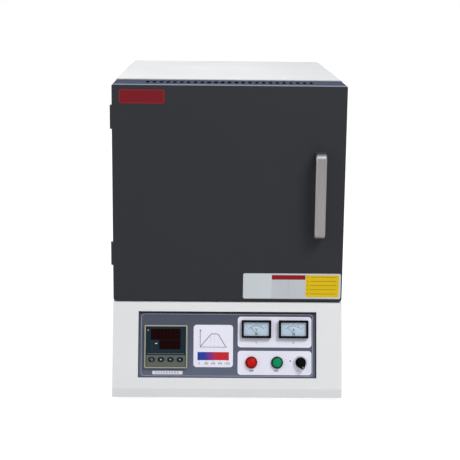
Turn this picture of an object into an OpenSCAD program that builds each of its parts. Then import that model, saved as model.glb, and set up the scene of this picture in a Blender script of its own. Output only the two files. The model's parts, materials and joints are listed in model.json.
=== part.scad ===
// Bench muffle furnace: welded base with a slanted control panel, insulated chamber, side-hinged door.
// Millimetres. X to the viewer's right, Y to the back, Z up from the surface the feet stand on.

/* [Body] */
// Width of body, base and door
body_w = 510; // [470:1:620]
// Depth of the body behind the door
body_d = 630; // [610:1:760]
// Height of the body above the base
body_h = 487; // [470:1:600]
// Thickness of the painted sheet steel
sheet = 1.5; // [1:0.1:2]
// Outer radius of the top cover's folded edges
cover_bend_r = 5; // [3:0.5:8]
// Height of the top cover's folded lips
cover_lip = 14; // [10:1:24]
// Thickness of the frame plate round the mouth
frame_t = 2; // [1.5:0.1:3]

/* [Base] */
// Height of the base without its feet
base_h = 203; // [195:1:240]
// Height of the vertical lip under the slanted front
lip_h = 20; // [12:1:30]
// Distance that the lip stands ahead of the door's front
lip_reach = 59; // [48:1:75]
// Distance that the deck's front edge stands ahead of the door's front
deck_reach = 4; // [2:0.5:8]
// Height of the rubber feet
foot_h = 10; // [6:1:20]
// Radius of a rubber foot
foot_r = 16; // [12:1:24]
// Distance from the base's edges to a foot's centre
foot_inset = 62; // [50:1:90]

/* [Door] */
// Height of the door
door_h = 483; // [460:1:483]
// Thickness of the door's folded shell
door_t = 107; // [98:1:120]
// Gap between the closed door and the body
door_gap = 3; // [2.8:0.1:5]
// Gap between the door's bottom and the deck
door_lift = 2; // [1.5:0.1:4]
// Corner radius of the door, seen from the front
door_corner_r = 6; // [6:1:16]
// Radius of the fold round the door's front
door_edge_r = 2; // [1:1:2]
// Number of air slots in the door's top, and again in its bottom
slot_count = 25; // [9:2:27]
// Distance from one air slot to the next
slot_pitch = 15; // [12:0.5:16]
// Width of an air slot
slot_w = 8.5; // [4:0.5:9.5]
// Length of an air slot, front to back
slot_len = 64; // [40:1:70]
// Distance from the door's front to where a slot starts
slot_start = 28; // [10:1:30]
// Thickness of the fibre board inside the door
door_board_t = 60; // [40:1:75]
// Width and height of the fibre board inside the door
door_board_w = 400; // [330:1:430]

/* [Plug and mouth] */
// Width and height of the mouth
mouth_w = 210; // [204:1:230]
// Depth of the bricks round the mouth
collar_d = 60; // [48:1:90]
// Depth that the plug reaches into the mouth
plug_d = 35; // [20:1:40]
// Gap between plug and mouth at the plug's root
plug_gap = 4; // [3.5:0.5:6]
// Inward slope of the plug's sides over its length
plug_taper = 4; // [2:0.5:8]
// Width of the fibre seal round the plug
seal_w = 14; // [8:1:20]
// Distance from the mouth's edge to the seal
seal_offset = 8; // [5:1:14]

/* [Handle] */
// Length of the bow handle
handle_len = 190; // [150:1:240]
// Width of the handle's bar
handle_w = 23; // [18:1:32]
// Thickness of the handle's bar
handle_t = 7; // [5:0.5:9]
// Distance from the door to the handle's front
handle_reach = 36; // [32:1:48]
// Outer radius of the handle's bends
handle_bend_r = 13; // [9:1:18]
// Distance from the door's free side to the handle's middle line
handle_inset = 56; // [40:1:90]
// Height of the handle's middle above the door's bottom
handle_level = 244; // [150:1:300]

/* [Hinges] */
// Length of a hinge
hinge_len = 54; // [42:1:70]
// Distance from the door's top or bottom to a hinge's middle
hinge_inset = 84; // [60:1:120]
// Outer radius of a hinge knuckle
knuckle_r = 6.6; // [6.5:0.1:9]
// Radius of a hinge pin
hinge_pin_r = 3.5; // [2.5:0.1:4.5]
// Thickness of a hinge leaf
leaf_t = 3; // [2:0.1:4]
// Width of a hinge leaf beyond its knuckle
leaf_w = 25; // [18:1:32]

/* [Chamber] */
// Width of the heated chamber
chamber_w = 200; // [180:1:203]
// Height of the heated chamber
chamber_h = 200; // [190:1:203]
// Depth of the heated chamber
chamber_d = 350; // [250:1:360]
// Thickness of the grooved boards that line the chamber
board_t = 40; // [30:1:46]
// Thickness of the insulation behind the boards
backup_t = 75; // [50:1:80]
// Thickness of the hearth plate
hearth_t = 10; // [6:1:15]
// Gap between the hearth plate and the chamber's walls
hearth_gap = 8; // [4:1:20]

/* [Heating] */
// Radius of the heating wire
wire_r = 3; // [2:0.1:3.4]
// Number of wire runs on each side wall
run_count = 8; // [4:2:8]
// Distance from one wire run to the next
run_pitch = 22; // [18:0.5:23]
// Radius of the thermocouple's sheath
sheath_r = 4; // [3:0.5:6]
// Length of sheath that stands inside the chamber
sheath_reach = 30; // [15:1:50]

/* [Control panel] */
// Width of the recess in the slanted front
recess_w = 397; // [392:1:420]
// Height of the recess along the slanted front
recess_h = 147; // [143:1:152]
// Distance from the deck's front edge to the recess
recess_margin = 20; // [14:1:24]
// Depth of the recess
recess_d = 8; // [5:0.5:12]
// Thickness of the panel plate
panel_t = 2; // [1.5:0.1:3]
// Thickness of the white label plates
label_t = 0.5; // [0.4:0.1:1]
// Distance from the recess's left side to the controller, and from the controller to the graph plate
ctrl_margin = 13.5; // [10:0.5:16]
// Distance from the graph plate to the meter plate, and from that to the recess's right side
plate_gap = 10.5; // [7:0.5:14]

/* [Controller] */
// Outer size of the square controller
ctrl_w = 96; // [92:1:100]
// Width of the controller's pale rim
ctrl_rim = 3; // [3:0.5:5]
// Height of the controller's rim above the panel
ctrl_rise = 8; // [7:0.5:10]
// Length of a key
key_len = 14; // [10:0.5:16]
// Width of a key
key_w = 10; // [7:0.5:12]
// Distance from one key to the next
key_pitch = 21; // [18:0.5:21]
// Travel of a key
key_travel = 0.8; // [0.4:0.1:1]

/* [Meters] */
// Width of a meter's frame
meter_w = 66; // [60:1:70]
// Height of a meter's frame
meter_h = 40; // [36:1:44]
// Width of the frame round a meter's dial
meter_rim = 5; // [3:0.5:6]
// Height of a meter above the label plate
meter_rise = 10; // [9:0.5:14]
// Length of a meter's needle
needle_len = 19; // [14:0.5:20]

/* [Buttons and selector] */
// Outer radius of a button's bezel
button_bezel_r = 13.5; // [12.5:0.1:15]
// Radius of a button's cap
button_cap_r = 10.3; // [8:0.1:11]
// Travel of a button
button_travel = 4; // [2:0.5:5]
// Radius of the threaded neck behind a button or selector
neck_r = 11; // [9:0.1:11.5]
// Radius of a button's or selector's stem
stem_r = 7; // [4:0.1:8]
// Outer radius of the selector's bezel
selector_bezel_r = 15; // [13.5:0.1:17]
// Radius of the selector's knob
selector_r = 11.5; // [9:0.1:12]
// Height of the selector's grip bar above its disc
selector_grip_h = 12; // [8:0.5:16]
// Reach of the selector's grip bar from its axis
selector_grip_reach = 15; // [12:0.5:18]

/* [Rear and cooling] */
// Outer size of the square cooling fan
fan_w = 119; // [110:1:124]
// Depth of the cooling fan
fan_d = 38; // [32:1:42]
// Radius of the fan's air passage
fan_bore_r = 57; // [50:0.5:57]
// Number of blades on the fan's rotor
blade_count = 7; // [5:1:9]
// Radius of the cable passage in the gland
gland_bore_r = 5; // [4:0.5:7]
// Reach of the cable gland behind the rear panel
gland_reach = 22; // [16:1:30]
// Height that a louvre stands out from its panel
louvre_h = 6; // [4:0.5:8]
// Length of a louvre
louvre_len = 90; // [60:1:110]

/* [Electrical pieces in the base] */
// Width of the power regulator's heat sink
regulator_w = 120; // [100:1:130]
// Length of the power regulator's heat sink
regulator_len = 150; // [120:1:170]
// Height of the heat sink's fins
regulator_h = 44; // [30:1:60]
// Width of the contactor
contactor_w = 46; // [40:1:70]
// Length of the contactor
contactor_len = 80; // [60:1:100]
// Height of the contactor
contactor_h = 84; // [70:1:100]
// Distance from one terminal to the next
terminal_pitch = 12; // [8:0.5:13]
// Number of terminals
terminal_count = 7; // [3:1:8]
// Length of a terminal, front to back
terminal_len = 40; // [30:1:50]
// Height of the terminal block
terminal_h = 42; // [34:1:50]
// Room behind the terminal block for the cable's wires
wiring_room = 100; // [60:1:140]
// Width and depth of a switch block behind a button
switch_w = 24; // [20:0.5:28]
// Height of a switch block along the panel
switch_h = 28; // [24:0.5:34]

/* [Door plates and catch] */
// Width of the rounded badge plate
badge_w = 99; // [70:1:120]
// Height of the rounded badge plate
badge_h = 31; // [24:1:40]
// Width of the card plate
card_w = 218; // [160:1:240]
// Height of the card plate
card_h = 58; // [40:1:80]
// Thickness of the plates on the door
plate_t = 0.8; // [0.5:0.1:1.5]
// Width of the magnetic catch
magnet_w = 14; // [10:0.5:20]
// Height of the magnetic catch
magnet_h = 60; // [40:1:90]

/* [Clearances] */
// Gap between pieces that only lie beside each other
seam = 0.2; // [0.1:0.05:0.4]
// Gap between a moving piece and what it passes
run_gap = 0.3; // [0.3:0.05:0.5]
// Radial clearance of a shaft in its bore
shaft_gap = 0.05; // [0.02:0.01:0.1]

/* [Hidden] */
$fn = 64;

// Overlap that joins two shapes of one piece
eps = 0.01;

// Front-to-back planes
overall_d = lip_reach + door_t + door_gap + body_d + gland_reach;
y_lip = -overall_d / 2;
y_door = y_lip + lip_reach;
y_door_back = y_door + door_t;
y_body = y_door_back + door_gap;
y_rear = y_body + body_d;
y_deck = y_door - deck_reach;

// Levels
z_base = foot_h;
z_deck = z_base + base_h;
z_door = z_deck + door_lift;
z_door_mid = z_door + door_h / 2;
z_top = z_deck + body_h;
z_mid = z_deck + body_h / 2;

// Slanted front and its recess
slant_rise = base_h - lip_h;
slant_run = lip_reach - deck_reach;
lean = atan(slant_run / slant_rise);
face_s = recess_margin + recess_h / 2;
face_y = y_deck - face_s * sin(lean);
face_z = z_deck - face_s * cos(lean);

// Chamber and its lining, measured from the chamber's middle
lining_x = chamber_w / 2 + board_t;
lining_z = chamber_h / 2 + board_t;
backup_x = lining_x + backup_t;
backup_z = lining_z + backup_t;
casing_z = backup_z + sheet;
y_collar = y_body + frame_t;
y_chamber = y_collar + collar_d;
y_chamber_end = y_chamber + chamber_d;
y_backup = y_chamber_end + board_t;
y_casing = y_backup + backup_t;
y_casing_end = y_casing + sheet;
z_sheath = z_mid + chamber_h / 2 - 30;

// Heating wire
groove_gap = 0.4;
wire_x = chamber_w / 2 + wire_r + 0.5;
run_z = [for (i = [0 : run_count - 1]) z_mid + (i - (run_count - 1) / 2) * run_pitch];
bend_r = run_pitch / 2;
groove_r = wire_r + groove_gap;
y_run = y_chamber + bend_r + groove_r + 6;
y_run_end = y_chamber_end - bend_r - groove_r - 4;
bushing_r = wire_r + 4;
bushing_tail = 14;
clamp_len = 18;
clamp_slit = 2;

// Hinge axis
hinge_x = -body_w / 2 - knuckle_r - run_gap;
hinge_y = y_body - door_gap / 2;
hinge_z = [z_door + hinge_inset, z_door + door_h - hinge_inset];
knuckle_gap = 0.4;
knuckle_len = (hinge_len - 2 * knuckle_gap) / 3;

// Places on the control panel, measured from the recess's middle
free_w = recess_w - ctrl_w - 2 * ctrl_margin - 2 * plate_gap;
graph_w = 0.348 * free_w;
graph_h = ctrl_w - 2;
plate_w = free_w - graph_w;
plate_x = (recess_w - plate_w) / 2 - plate_gap;
plate_top = 10.75;
plate_bottom = 6.75;
plate_row_gap = 7.5;
free_h = recess_h - plate_top - plate_bottom - plate_row_gap;
meters_h = 0.5615 * free_h;
buttons_h = free_h - meters_h;
label_r = 7;
ctrl_at = [(ctrl_w - recess_w) / 2 + ctrl_margin, -0.034 * recess_h];
graph_at = ctrl_at + [(ctrl_w + graph_w) / 2 + ctrl_margin, 2];
meters_at = [plate_x, (recess_h - meters_h) / 2 - plate_top];
buttons_at = [plate_x, (buttons_h - recess_h) / 2 + plate_bottom];
strip_w = 0.7 * ctrl_w;
strip_h = 7.8;
strip_at = ctrl_at - [-4, ctrl_w / 2 + strip_h / 2 + 5.6];
volt_at = meters_at + [-0.2485 * plate_w, 6.5];
amp_at = meters_at + [0.2545 * plate_w, 6.5];
red_at = buttons_at + [-0.315 * plate_w, 1];
green_at = buttons_at + [0.0333 * plate_w, 1];
selector_at = buttons_at + [0.3515 * plate_w, 1.5];
bezel_rise = 5;
z_pocket = label_t + 1.5;
neck_len = 14;
switch_depth = 30;
selector_turn = -68;

// Controller layout, measured from the controller's middle
key_row = -28.5;
face_inset = 1.5;
face_t = 2;
z_face = ctrl_rise - face_inset;
display_1_at = [-0.5, 27.5];
display_1_w = 66;
display_1_h = 24;
display_2_at = [9, 4.5];
display_2_w = 47;
display_2_h = 20;
window_t = 1;

// Meter layout, measured from the meter's middle
dial_w = meter_w - 2 * meter_rim;
dial_h = meter_h - 2 * meter_rim;
dial_z = label_t + 3;
dial_t = 0.6;
pivot_v = -dial_h / 2 + 5.5;
pivot_r = 1;
needle_hub_r = 2.6;
needle_z = dial_z + dial_t + 1;
meter_glass_t = 1.5;
z_meter_glass = label_t + meter_rise - 1 - meter_glass_t;

// Rear pieces
fan_x = -140;
fan_z = z_base + base_h / 2;
fan_screw = fan_w / 2 - 7;
hub_r = 20;
fan_arm_t = 4;
fan_shaft_r = 2.5;
guard_foot_t = 2.4;
gland_x = 150;
gland_z = z_base + 52;
gland_thread_r = gland_bore_r + 5;
gland_inside = 12;
gland_flange = 5;
gland_nut_t = 5;
gland_taper = 4;
screw_r = 2;
screw_head_r = 4;
screw_head_h = 2.2;
screw_len = 4;
base_screw_inset = 14;
rear_screw_inset = 16;
vent_w = 5;

// Louvres
louvre_lip = 1.2;
louvre_rise = 2.8 * louvre_h;
louvre_rows = 5;

// Electrical pieces on the base's floor
z_floor = z_base + sheet + seam;
regulator_y = y_rear - sheet - fan_d - 15.5 - regulator_len / 2;
regulator_base_t = 9;
fin_t = 3;
fin_count = 13;
contactor_x = 20;
terminal_y = y_rear - wiring_room - terminal_len / 2;
rail_t = 8;

// Handle, catch and plates on the door
handle_x = body_w / 2 - handle_inset;
handle_z = z_door + handle_level;
magnet_x = body_w / 2 - 60;
magnet_proud = 1;
badge_at = [-body_w / 2 + 65.5, door_h - 27.5];
card_at = [body_w / 2 - 112, 36];

// ---------- shared shapes ----------

module block(lo, hi) {
    translate(lo) cube(hi - lo);
}

module rounded(w, h, r) {
    square([w - 2 * r, h], center = true);
    square([w, h - 2 * r], center = true);
    for (x = [-1, 1], y = [-1, 1]) translate([x * (w / 2 - r), y * (h / 2 - r)]) circle(r);
}

module stadium(len, w) {
    square([len - w, w], center = true);
    for (x = [-1, 1]) translate([x * (len - w) / 2, 0]) circle(w / 2);
}

// Extrudes a (Y, Z) outline along X, centred on X = 0
module along_x(len) {
    translate([-len / 2, 0, 0]) rotate([90, 0, 90]) linear_extrude(len) children();
}

// Extrudes an (X, Z) outline from plane y back to y + len
module along_y(y, len) {
    translate([0, y + len, 0]) rotate([90, 0, 0]) linear_extrude(len) children();
}

// A cylinder from plane y back to y + len
module rod_y(x, y, z, r, len) {
    translate([x, y, z]) rotate([-90, 0, 0]) cylinder(r = r, h = len);
}

// The slanted face's own frame: x across, y up the slope, z out of the face
module on_face(depth) {
    translate([0, face_y, face_z]) rotate([90 - lean, 0, 0]) translate([0, 0, -depth]) children();
}

module on_panel(at = [0, 0]) {
    on_face(recess_d) translate([at[0], at[1], 0]) children();
}

// A pressed louvre on a panel whose outer face is x = 0, open at the bottom, with its top at z = 0
module louvre() {
    translate([0, -louvre_len / 2, -louvre_h]) rotate([90, 0, 0]) translate([0, 0, -louvre_len])
        linear_extrude(louvre_len) {
            intersection() {
                difference() {
                    circle(louvre_h);
                    circle(louvre_h - louvre_lip);
                }
                square(louvre_h);
            }
            translate([-sheet / 2, louvre_h - louvre_lip]) square([sheet / 2 + eps, louvre_lip]);
        }
    for (y = [-louvre_len / 2 + louvre_lip, louvre_len / 2])
        translate([0, y, -louvre_h]) rotate([90, 0, 0]) linear_extrude(louvre_lip) {
            intersection() {
                circle(louvre_h);
                square(louvre_h);
            }
            translate([-sheet / 2, 0]) square([sheet / 2 + eps, louvre_h]);
        }
}

// The hole in the panel behind a louvre
module louvre_slot() {
    block([-2 * sheet, -louvre_len / 2 + louvre_lip, -louvre_h],
          [sheet, louvre_len / 2 - louvre_lip, -louvre_lip]);
}

// A column of louvres at x = 0, centred on its own origin
module louvre_column(rows) {
    for (r = [0 : rows - 1])
        translate([0, 0, (r - (rows - 1) / 2) * louvre_rise]) children();
}

// A pan-head screw whose head rests on z = 0 and whose shank points down
module screw() {
    cylinder(r1 = screw_head_r, r2 = screw_head_r - 1, h = screw_head_h);
    translate([0, 0, -screw_len]) cylinder(r = screw_r, h = screw_len + eps);
}

module screw_hole() {
    translate([0, 0, -screw_len - 1]) cylinder(r = screw_r + seam, h = screw_len + 2);
}

// ---------- base ----------

// Side view of the base's shell: lip, slanted front and deck level
module base_outline() {
    polygon([
        [y_lip, z_base],
        [y_lip, z_base + lip_h],
        [y_deck, z_deck],
        [y_rear - sheet, z_deck],
        [y_rear - sheet, z_base]
    ]);
}

// Side view of the space inside the shell, open at the bottom, the top and the back
module base_hollow() {
    polygon([
        [y_lip + sheet, z_base - 1],
        [y_lip + sheet, z_base + lip_h - sheet * tan(lean / 2)],
        [y_deck + sheet / cos(lean) + tan(lean), z_deck + 1],
        [y_rear, z_deck + 1],
        [y_rear, z_base - 1]
    ]);
}

module base_louvres(side) {
    for (y = [y_lip + 210, y_rear - 190])
        translate([side * body_w / 2, y, fan_z]) scale([side, 1, 1]) louvre_column(louvre_rows) children();
}

module base_shell() {
    color("whitesmoke") {
        difference() {
            along_x(body_w) base_outline();
            along_x(body_w - 2 * sheet) base_hollow();
            on_face(2 * sheet) linear_extrude(4 * sheet) square([recess_w, recess_h], center = true);
            for (side = [-1, 1]) base_louvres(side) louvre_slot();
        }
        difference() {
            on_face(recess_d) linear_extrude(recess_d - sheet / 2)
                square([recess_w + 2 * sheet, recess_h + 2 * sheet], center = true);
            on_face(recess_d + 1) linear_extrude(recess_d + 2)
                square([recess_w, recess_h], center = true);
        }
        for (side = [-1, 1]) base_louvres(side) louvre();
    }
}

module base_floor() {
    color("silver") difference() {
        block([-body_w / 2 + sheet + seam, y_lip + sheet + seam, z_base],
              [body_w / 2 - sheet - seam, y_rear - sheet - seam, z_base + sheet]);
        for (x = [-120 : 30 : 120], y = [y_body + 60, y_body + 90])
            translate([x, y, z_base - 1]) linear_extrude(sheet + 2) stadium(20, vent_w);
    }
}

module deck_plate() {
    front = y_deck + (sheet + seam) / cos(lean) + seam;
    color("whitesmoke")
        block([-body_w / 2 + sheet + seam, front, z_deck - sheet],
              [body_w / 2 - sheet - seam, y_rear - sheet - seam, z_deck]);
}

module rubber_feet() {
    chamfer = 2;
    for (x = [-1, 1], y = [y_lip + foot_inset, y_rear - foot_inset])
        color("dimgray") translate([x * (body_w / 2 - foot_inset), y, 0]) {
            cylinder(r1 = foot_r - chamfer, r2 = foot_r, h = chamfer);
            translate([0, 0, chamfer]) cylinder(r = foot_r, h = foot_h - chamfer);
        }
}

module at_base_screws() {
    for (x = [-1, 1], z = [z_base + base_screw_inset, z_deck - base_screw_inset])
        translate([x * (body_w / 2 - base_screw_inset), y_rear, z]) rotate([-90, 0, 0]) children();
}

module at_fan_screws() {
    for (x = [-1, 1], z = [-1, 1])
        translate([fan_x + x * fan_screw, y_rear, fan_z + z * fan_screw]) rotate([-90, 0, 0]) children();
}

module base_rear() {
    color("whitesmoke") difference() {
        block([-body_w / 2, y_rear - sheet, z_base], [body_w / 2, y_rear, z_deck]);
        rod_y(fan_x, y_rear - sheet - 1, fan_z, fan_bore_r, sheet + 2);
        rod_y(gland_x, y_rear - sheet - 1, gland_z, gland_thread_r + seam, sheet + 2);
        at_base_screws() screw_hole();
        at_fan_screws() screw_hole();
        for (i = [0 : 7])
            along_y(y_rear - sheet - 1, sheet + 2) translate([10 + i * 12, z_deck - 60])
                rotate(90) stadium(50, vent_w);
    }
}

// ---------- body ----------

module support_rails() {
    half = 20;
    wall = 2;
    front = y_body + 40;
    for (x = [-1, 1])
        color("silver") translate([x * (backup_x - 3 * half), 0, 0]) difference() {
            block([-half, front, z_deck], [half, y_casing, z_mid - casing_z]);
            block([-half + wall, front - 1, z_deck - 1],
                  [half - wall, y_casing + 1, z_mid - casing_z - wall]);
        }
}

module side_louvres(side) {
    for (y = [y_body + 200, y_rear - 200], z = [z_mid - 150, z_mid + 150])
        translate([side * body_w / 2, y, z]) scale([side, 1, 1]) louvre_column(louvre_rows) children();
}

module side_panels() {
    for (side = [-1, 1])
        color("whitesmoke") {
            difference() {
                block([side * body_w / 2 - (side > 0 ? sheet : 0), y_body, z_deck],
                      [side * body_w / 2 + (side > 0 ? 0 : sheet), y_rear, z_top - cover_lip - seam]);
                side_louvres(side) louvre_slot();
            }
            side_louvres(side) louvre();
        }
}

module cover_outline(inset, r) {
    w = body_w / 2 - inset;
    top = z_top - inset;
    translate([-w, z_top - cover_lip]) square([2 * w, cover_lip - inset - r]);
    translate([-w + r, z_top - cover_lip]) square([2 * (w - r), cover_lip - inset]);
    for (x = [-1, 1]) translate([x * (w - r), top - r]) circle(r);
}

module top_cover() {
    color("white") difference() {
        along_y(y_body, body_d) cover_outline(0, cover_bend_r);
        translate([0, -1, 0]) along_y(y_body, body_d + 2) {
            cover_outline(sheet, cover_bend_r - sheet);
            translate([-body_w / 2 + sheet, z_top - cover_lip - 1]) square([body_w - 2 * sheet, 2]);
        }
    }
}

module at_rear_screws() {
    for (x = [-1, 0, 1], z = [z_deck + rear_screw_inset - 2, z_top - rear_screw_inset])
        translate([x * (body_w / 2 - rear_screw_inset), y_rear, z]) rotate([-90, 0, 0]) children();
}

// Outline of a plate that closes the body: square at the deck, rounded to fit the cover's folds
module closing_outline() {
    w = body_w / 2 - sheet - seam;
    top = z_top - sheet - seam;
    r = cover_bend_r - sheet;
    translate([-w, z_deck + seam]) square([2 * w, top - r - z_deck - seam]);
    translate([-w + r, z_deck + seam]) square([2 * (w - r), top - z_deck - seam]);
    for (x = [-1, 1]) translate([x * (w - r), top - r]) circle(r);
}

module rear_panel() {
    color("whitesmoke") difference() {
        along_y(y_rear - sheet, sheet) closing_outline();
        at_rear_screws() screw_hole();
        for (x = [-110, 110], i = [0 : 7], z = [z_mid - 130, z_mid + 130])
            along_y(y_rear - sheet - 1, sheet + 2) translate([x, z + (i - 3.5) * 13]) stadium(120, vent_w);
    }
}

module front_frame() {
    opening = mouth_w / 2 + 2;
    color("lightgray") difference() {
        along_y(y_body, frame_t) closing_outline();
        block([-opening, y_body - 1, z_mid - opening], [opening, y_body + frame_t + 1, z_mid + opening]);
        block([magnet_x - magnet_w / 2 - seam, y_body - 1, z_mid - magnet_h / 2 - seam],
              [magnet_x + magnet_w / 2 + seam, y_body + frame_t + 1, z_mid + magnet_h / 2 + seam]);
    }
}

module magnet_catch() {
    color("dimgray")
        block([magnet_x - magnet_w / 2, y_body - magnet_proud, z_mid - magnet_h / 2],
              [magnet_x + magnet_w / 2, y_body + frame_t, z_mid + magnet_h / 2]);
}

module back_holes(r, len) {
    for (x = [-wire_x, wire_x], z = [run_z[0], run_z[run_count - 1]])
        rod_y(x, y_chamber_end - 1, z, r, len);
}

module inner_casing() {
    y_front = y_body + frame_t;
    color("silver") {
        for (x = [-1, 1])
            translate([x * (backup_x + sheet / 2), 0, 0])
                block([-sheet / 2, y_front, z_mid - casing_z], [sheet / 2, y_casing_end, z_mid + casing_z]);
        for (z = [-1, 1])
            translate([0, 0, z_mid + z * (backup_z + sheet / 2)])
                block([-backup_x + seam, y_front, -sheet / 2], [backup_x - seam, y_casing_end, sheet / 2]);
        difference() {
            block([-backup_x + seam, y_casing, z_mid - backup_z + seam],
                  [backup_x - seam, y_casing_end, z_mid + backup_z - seam]);
            back_holes(bushing_r + seam, board_t + backup_t + 10);
            rod_y(0, y_casing - 1, z_sheath, sheath_r + seam, sheet + 2);
        }
    }
}

module backup_insulation() {
    y_front = y_body + frame_t + seam;
    color("ivory") {
        for (x = [-1, 1])
            translate([x * (lining_x + backup_t / 2), 0, 0])
                block([-backup_t / 2 + seam, y_front, z_mid - backup_z + seam],
                      [backup_t / 2 - seam, y_backup, z_mid + backup_z - seam]);
        for (z = [-1, 1])
            translate([0, 0, z_mid + z * (lining_z + backup_t / 2)])
                block([-lining_x, y_front, -backup_t / 2 + seam],
                      [lining_x, y_backup, backup_t / 2 - seam]);
        difference() {
            block([-backup_x + seam, y_backup + seam, z_mid - backup_z + seam],
                  [backup_x - seam, y_casing - seam, z_mid + backup_z - seam]);
            back_holes(bushing_r + seam, board_t + backup_t + 10);
            rod_y(0, y_backup - 1, z_sheath, sheath_r + seam, backup_t + 2);
        }
    }
}

module mouth_collar() {
    side = lining_x - mouth_w / 2;
    rise = lining_z - mouth_w / 2;
    color("ivory") {
        for (x = [-1, 1])
            translate([x * (mouth_w / 2 + side / 2), 0, 0])
                block([-side / 2, y_collar, z_mid - mouth_w / 2 + seam],
                      [side / 2, y_chamber - seam, z_mid + mouth_w / 2 - seam]);
        for (z = [-1, 1])
            translate([0, 0, z_mid + z * (mouth_w / 2 + rise / 2)])
                block([-lining_x, y_collar, -rise / 2], [lining_x, y_chamber - seam, rise / 2]);
    }
}

module chamber_boards() {
    color("white") {
        for (z = [-1, 1])
            translate([0, 0, z_mid + z * (chamber_h / 2 + board_t / 2)])
                block([-chamber_w / 2, y_chamber, -board_t / 2],
                      [chamber_w / 2, y_chamber_end - seam, board_t / 2]);
        difference() {
            block([-lining_x, y_chamber_end, z_mid - lining_z],
                  [lining_x, y_backup - seam, z_mid + lining_z]);
            back_holes(groove_r, board_t + 2);
            rod_y(0, y_chamber_end - 1, z_sheath, sheath_r + seam, board_t + 2);
        }
    }
}

// Room for one straight wire run, open towards the chamber
module groove(z, y0, y1) {
    rod_y(wire_x, y0, z, groove_r, y1 - y0);
    block([0, y0, z - groove_r], [wire_x, y1, z + groove_r]);
}

module side_board() {
    last = run_count - 1;
    difference() {
        block([chamber_w / 2 + seam, y_chamber, z_mid - lining_z],
              [lining_x, y_chamber_end - seam, z_mid + lining_z]);
        for (i = [0 : last])
            groove(run_z[i], y_run - 1, i == 0 || i == last ? y_chamber_end : y_run_end + 1);
        block([0, y_run - bend_r - groove_r, run_z[0] - groove_r],
              [wire_x + groove_r, y_run, run_z[last] + groove_r]);
        block([0, y_run_end, run_z[1] - groove_r],
              [wire_x + groove_r, y_run_end + bend_r + groove_r, run_z[last - 1] + groove_r]);
    }
}

module chamber_side_boards() {
    color("white") {
        side_board();
        mirror([1, 0, 0]) side_board();
    }
}

module hearth_plate() {
    w = chamber_w / 2 - hearth_gap;
    z0 = z_mid - chamber_h / 2 + seam;
    color("darkgray")
        block([-w, y_chamber + hearth_gap, z0], [w, y_chamber_end - hearth_gap, z0 + hearth_t]);
}

module wire_bend(y, z, turn) {
    translate([wire_x, y, z]) rotate([90, 0, 90]) rotate([0, 0, turn])
        rotate_extrude(angle = 180) translate([bend_r, 0]) circle(wire_r);
}

module wire() {
    last = run_count - 1;
    tail = y_casing_end + bushing_tail + clamp_len + 2;
    for (i = [0 : last])
        rod_y(wire_x, y_run, run_z[i], wire_r, (i == 0 || i == last ? tail : y_run_end) - y_run);
    for (i = [0 : 2 : last - 1]) wire_bend(y_run, run_z[i] + bend_r, 90);
    for (i = [1 : 2 : last - 2]) wire_bend(y_run_end, run_z[i] + bend_r, -90);
}

module heating_elements() {
    color("slategray") {
        wire();
        mirror([1, 0, 0]) wire();
    }
}

module at_wire_ends(y) {
    for (x = [-wire_x, wire_x], z = [run_z[0], run_z[run_count - 1]])
        translate([x, y, z]) rotate([-90, 0, 0]) children();
}

module element_bushings() {
    len = backup_t + sheet + bushing_tail - seam;
    color("linen") at_wire_ends(y_backup + seam) difference() {
        cylinder(r = bushing_r, h = len);
        translate([0, 0, -1]) cylinder(r = groove_r, h = len + 2);
    }
}

module element_terminals() {
    color("gold") at_wire_ends(y_casing_end + bushing_tail + seam) difference() {
        cylinder(r = bushing_r + 2, h = clamp_len);
        translate([0, 0, -1]) cylinder(r = wire_r + shaft_gap, h = clamp_len + 2);
        translate([-clamp_slit / 2, 0, -1]) cube([clamp_slit, bushing_r + 3, clamp_len + 2]);
    }
}

module thermocouple() {
    head_r = 22;
    head_len = 32;
    y0 = y_chamber_end - sheath_reach;
    y1 = y_casing_end + 14;
    color("linen") translate([0, y0, z_sheath]) {
        translate([0, sheath_r, 0]) rotate([-90, 0, 0]) cylinder(r = sheath_r, h = y1 - y0 - sheath_r + 2);
        translate([0, sheath_r, 0]) sphere(sheath_r);
    }
    color("silver") {
        rod_y(0, y_casing_end + 2, z_sheath, sheath_r + 4, y1 - y_casing_end - 2 + eps);
        rod_y(0, y1, z_sheath, head_r, head_len);
        rod_y(0, y1 + head_len - eps, z_sheath, head_r - 3, 6);
    }
}

// ---------- hinges ----------

module knuckle(z, len) {
    translate([hinge_x, hinge_y, z]) cylinder(r = knuckle_r, h = len);
}

module pin_hole(z) {
    translate([hinge_x, hinge_y, z - hinge_len]) cylinder(r = hinge_pin_r + shaft_gap, h = 2 * hinge_len);
}

// Leaf plate on the side of the body (dir = 1) or of the door (dir = -1)
module leaf(z, dir) {
    reach = knuckle_r + 0.7;
    x1 = -body_w / 2;
    y0 = hinge_y + dir * reach;
    y1 = y0 + dir * leaf_w;
    block([x1 - leaf_t, min(y0, y1), z - hinge_len / 2], [x1, max(y0, y1), z + hinge_len / 2]);
}

module leaf_tab(z0, len, dir) {
    x1 = -body_w / 2;
    y0 = hinge_y + dir * (knuckle_r + 0.8);
    block([x1 - leaf_t, min(y0, hinge_y), z0], [x1 - run_gap, max(y0, hinge_y), z0 + len]);
}

module hinge_fixed_leaves() {
    for (z = hinge_z)
        color("dimgray") difference() {
            union() {
                leaf(z, 1);
                for (z0 = [z - hinge_len / 2, z + hinge_len / 2 - knuckle_len]) {
                    leaf_tab(z0, knuckle_len, 1);
                    knuckle(z0, knuckle_len);
                }
            }
            pin_hole(z);
        }
}

module hinge_door_leaves() {
    for (z = hinge_z)
        color("dimgray") difference() {
            union() {
                leaf(z, -1);
                leaf_tab(z - knuckle_len / 2, knuckle_len, -1);
                knuckle(z - knuckle_len / 2, knuckle_len);
            }
            pin_hole(z);
        }
}

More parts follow.
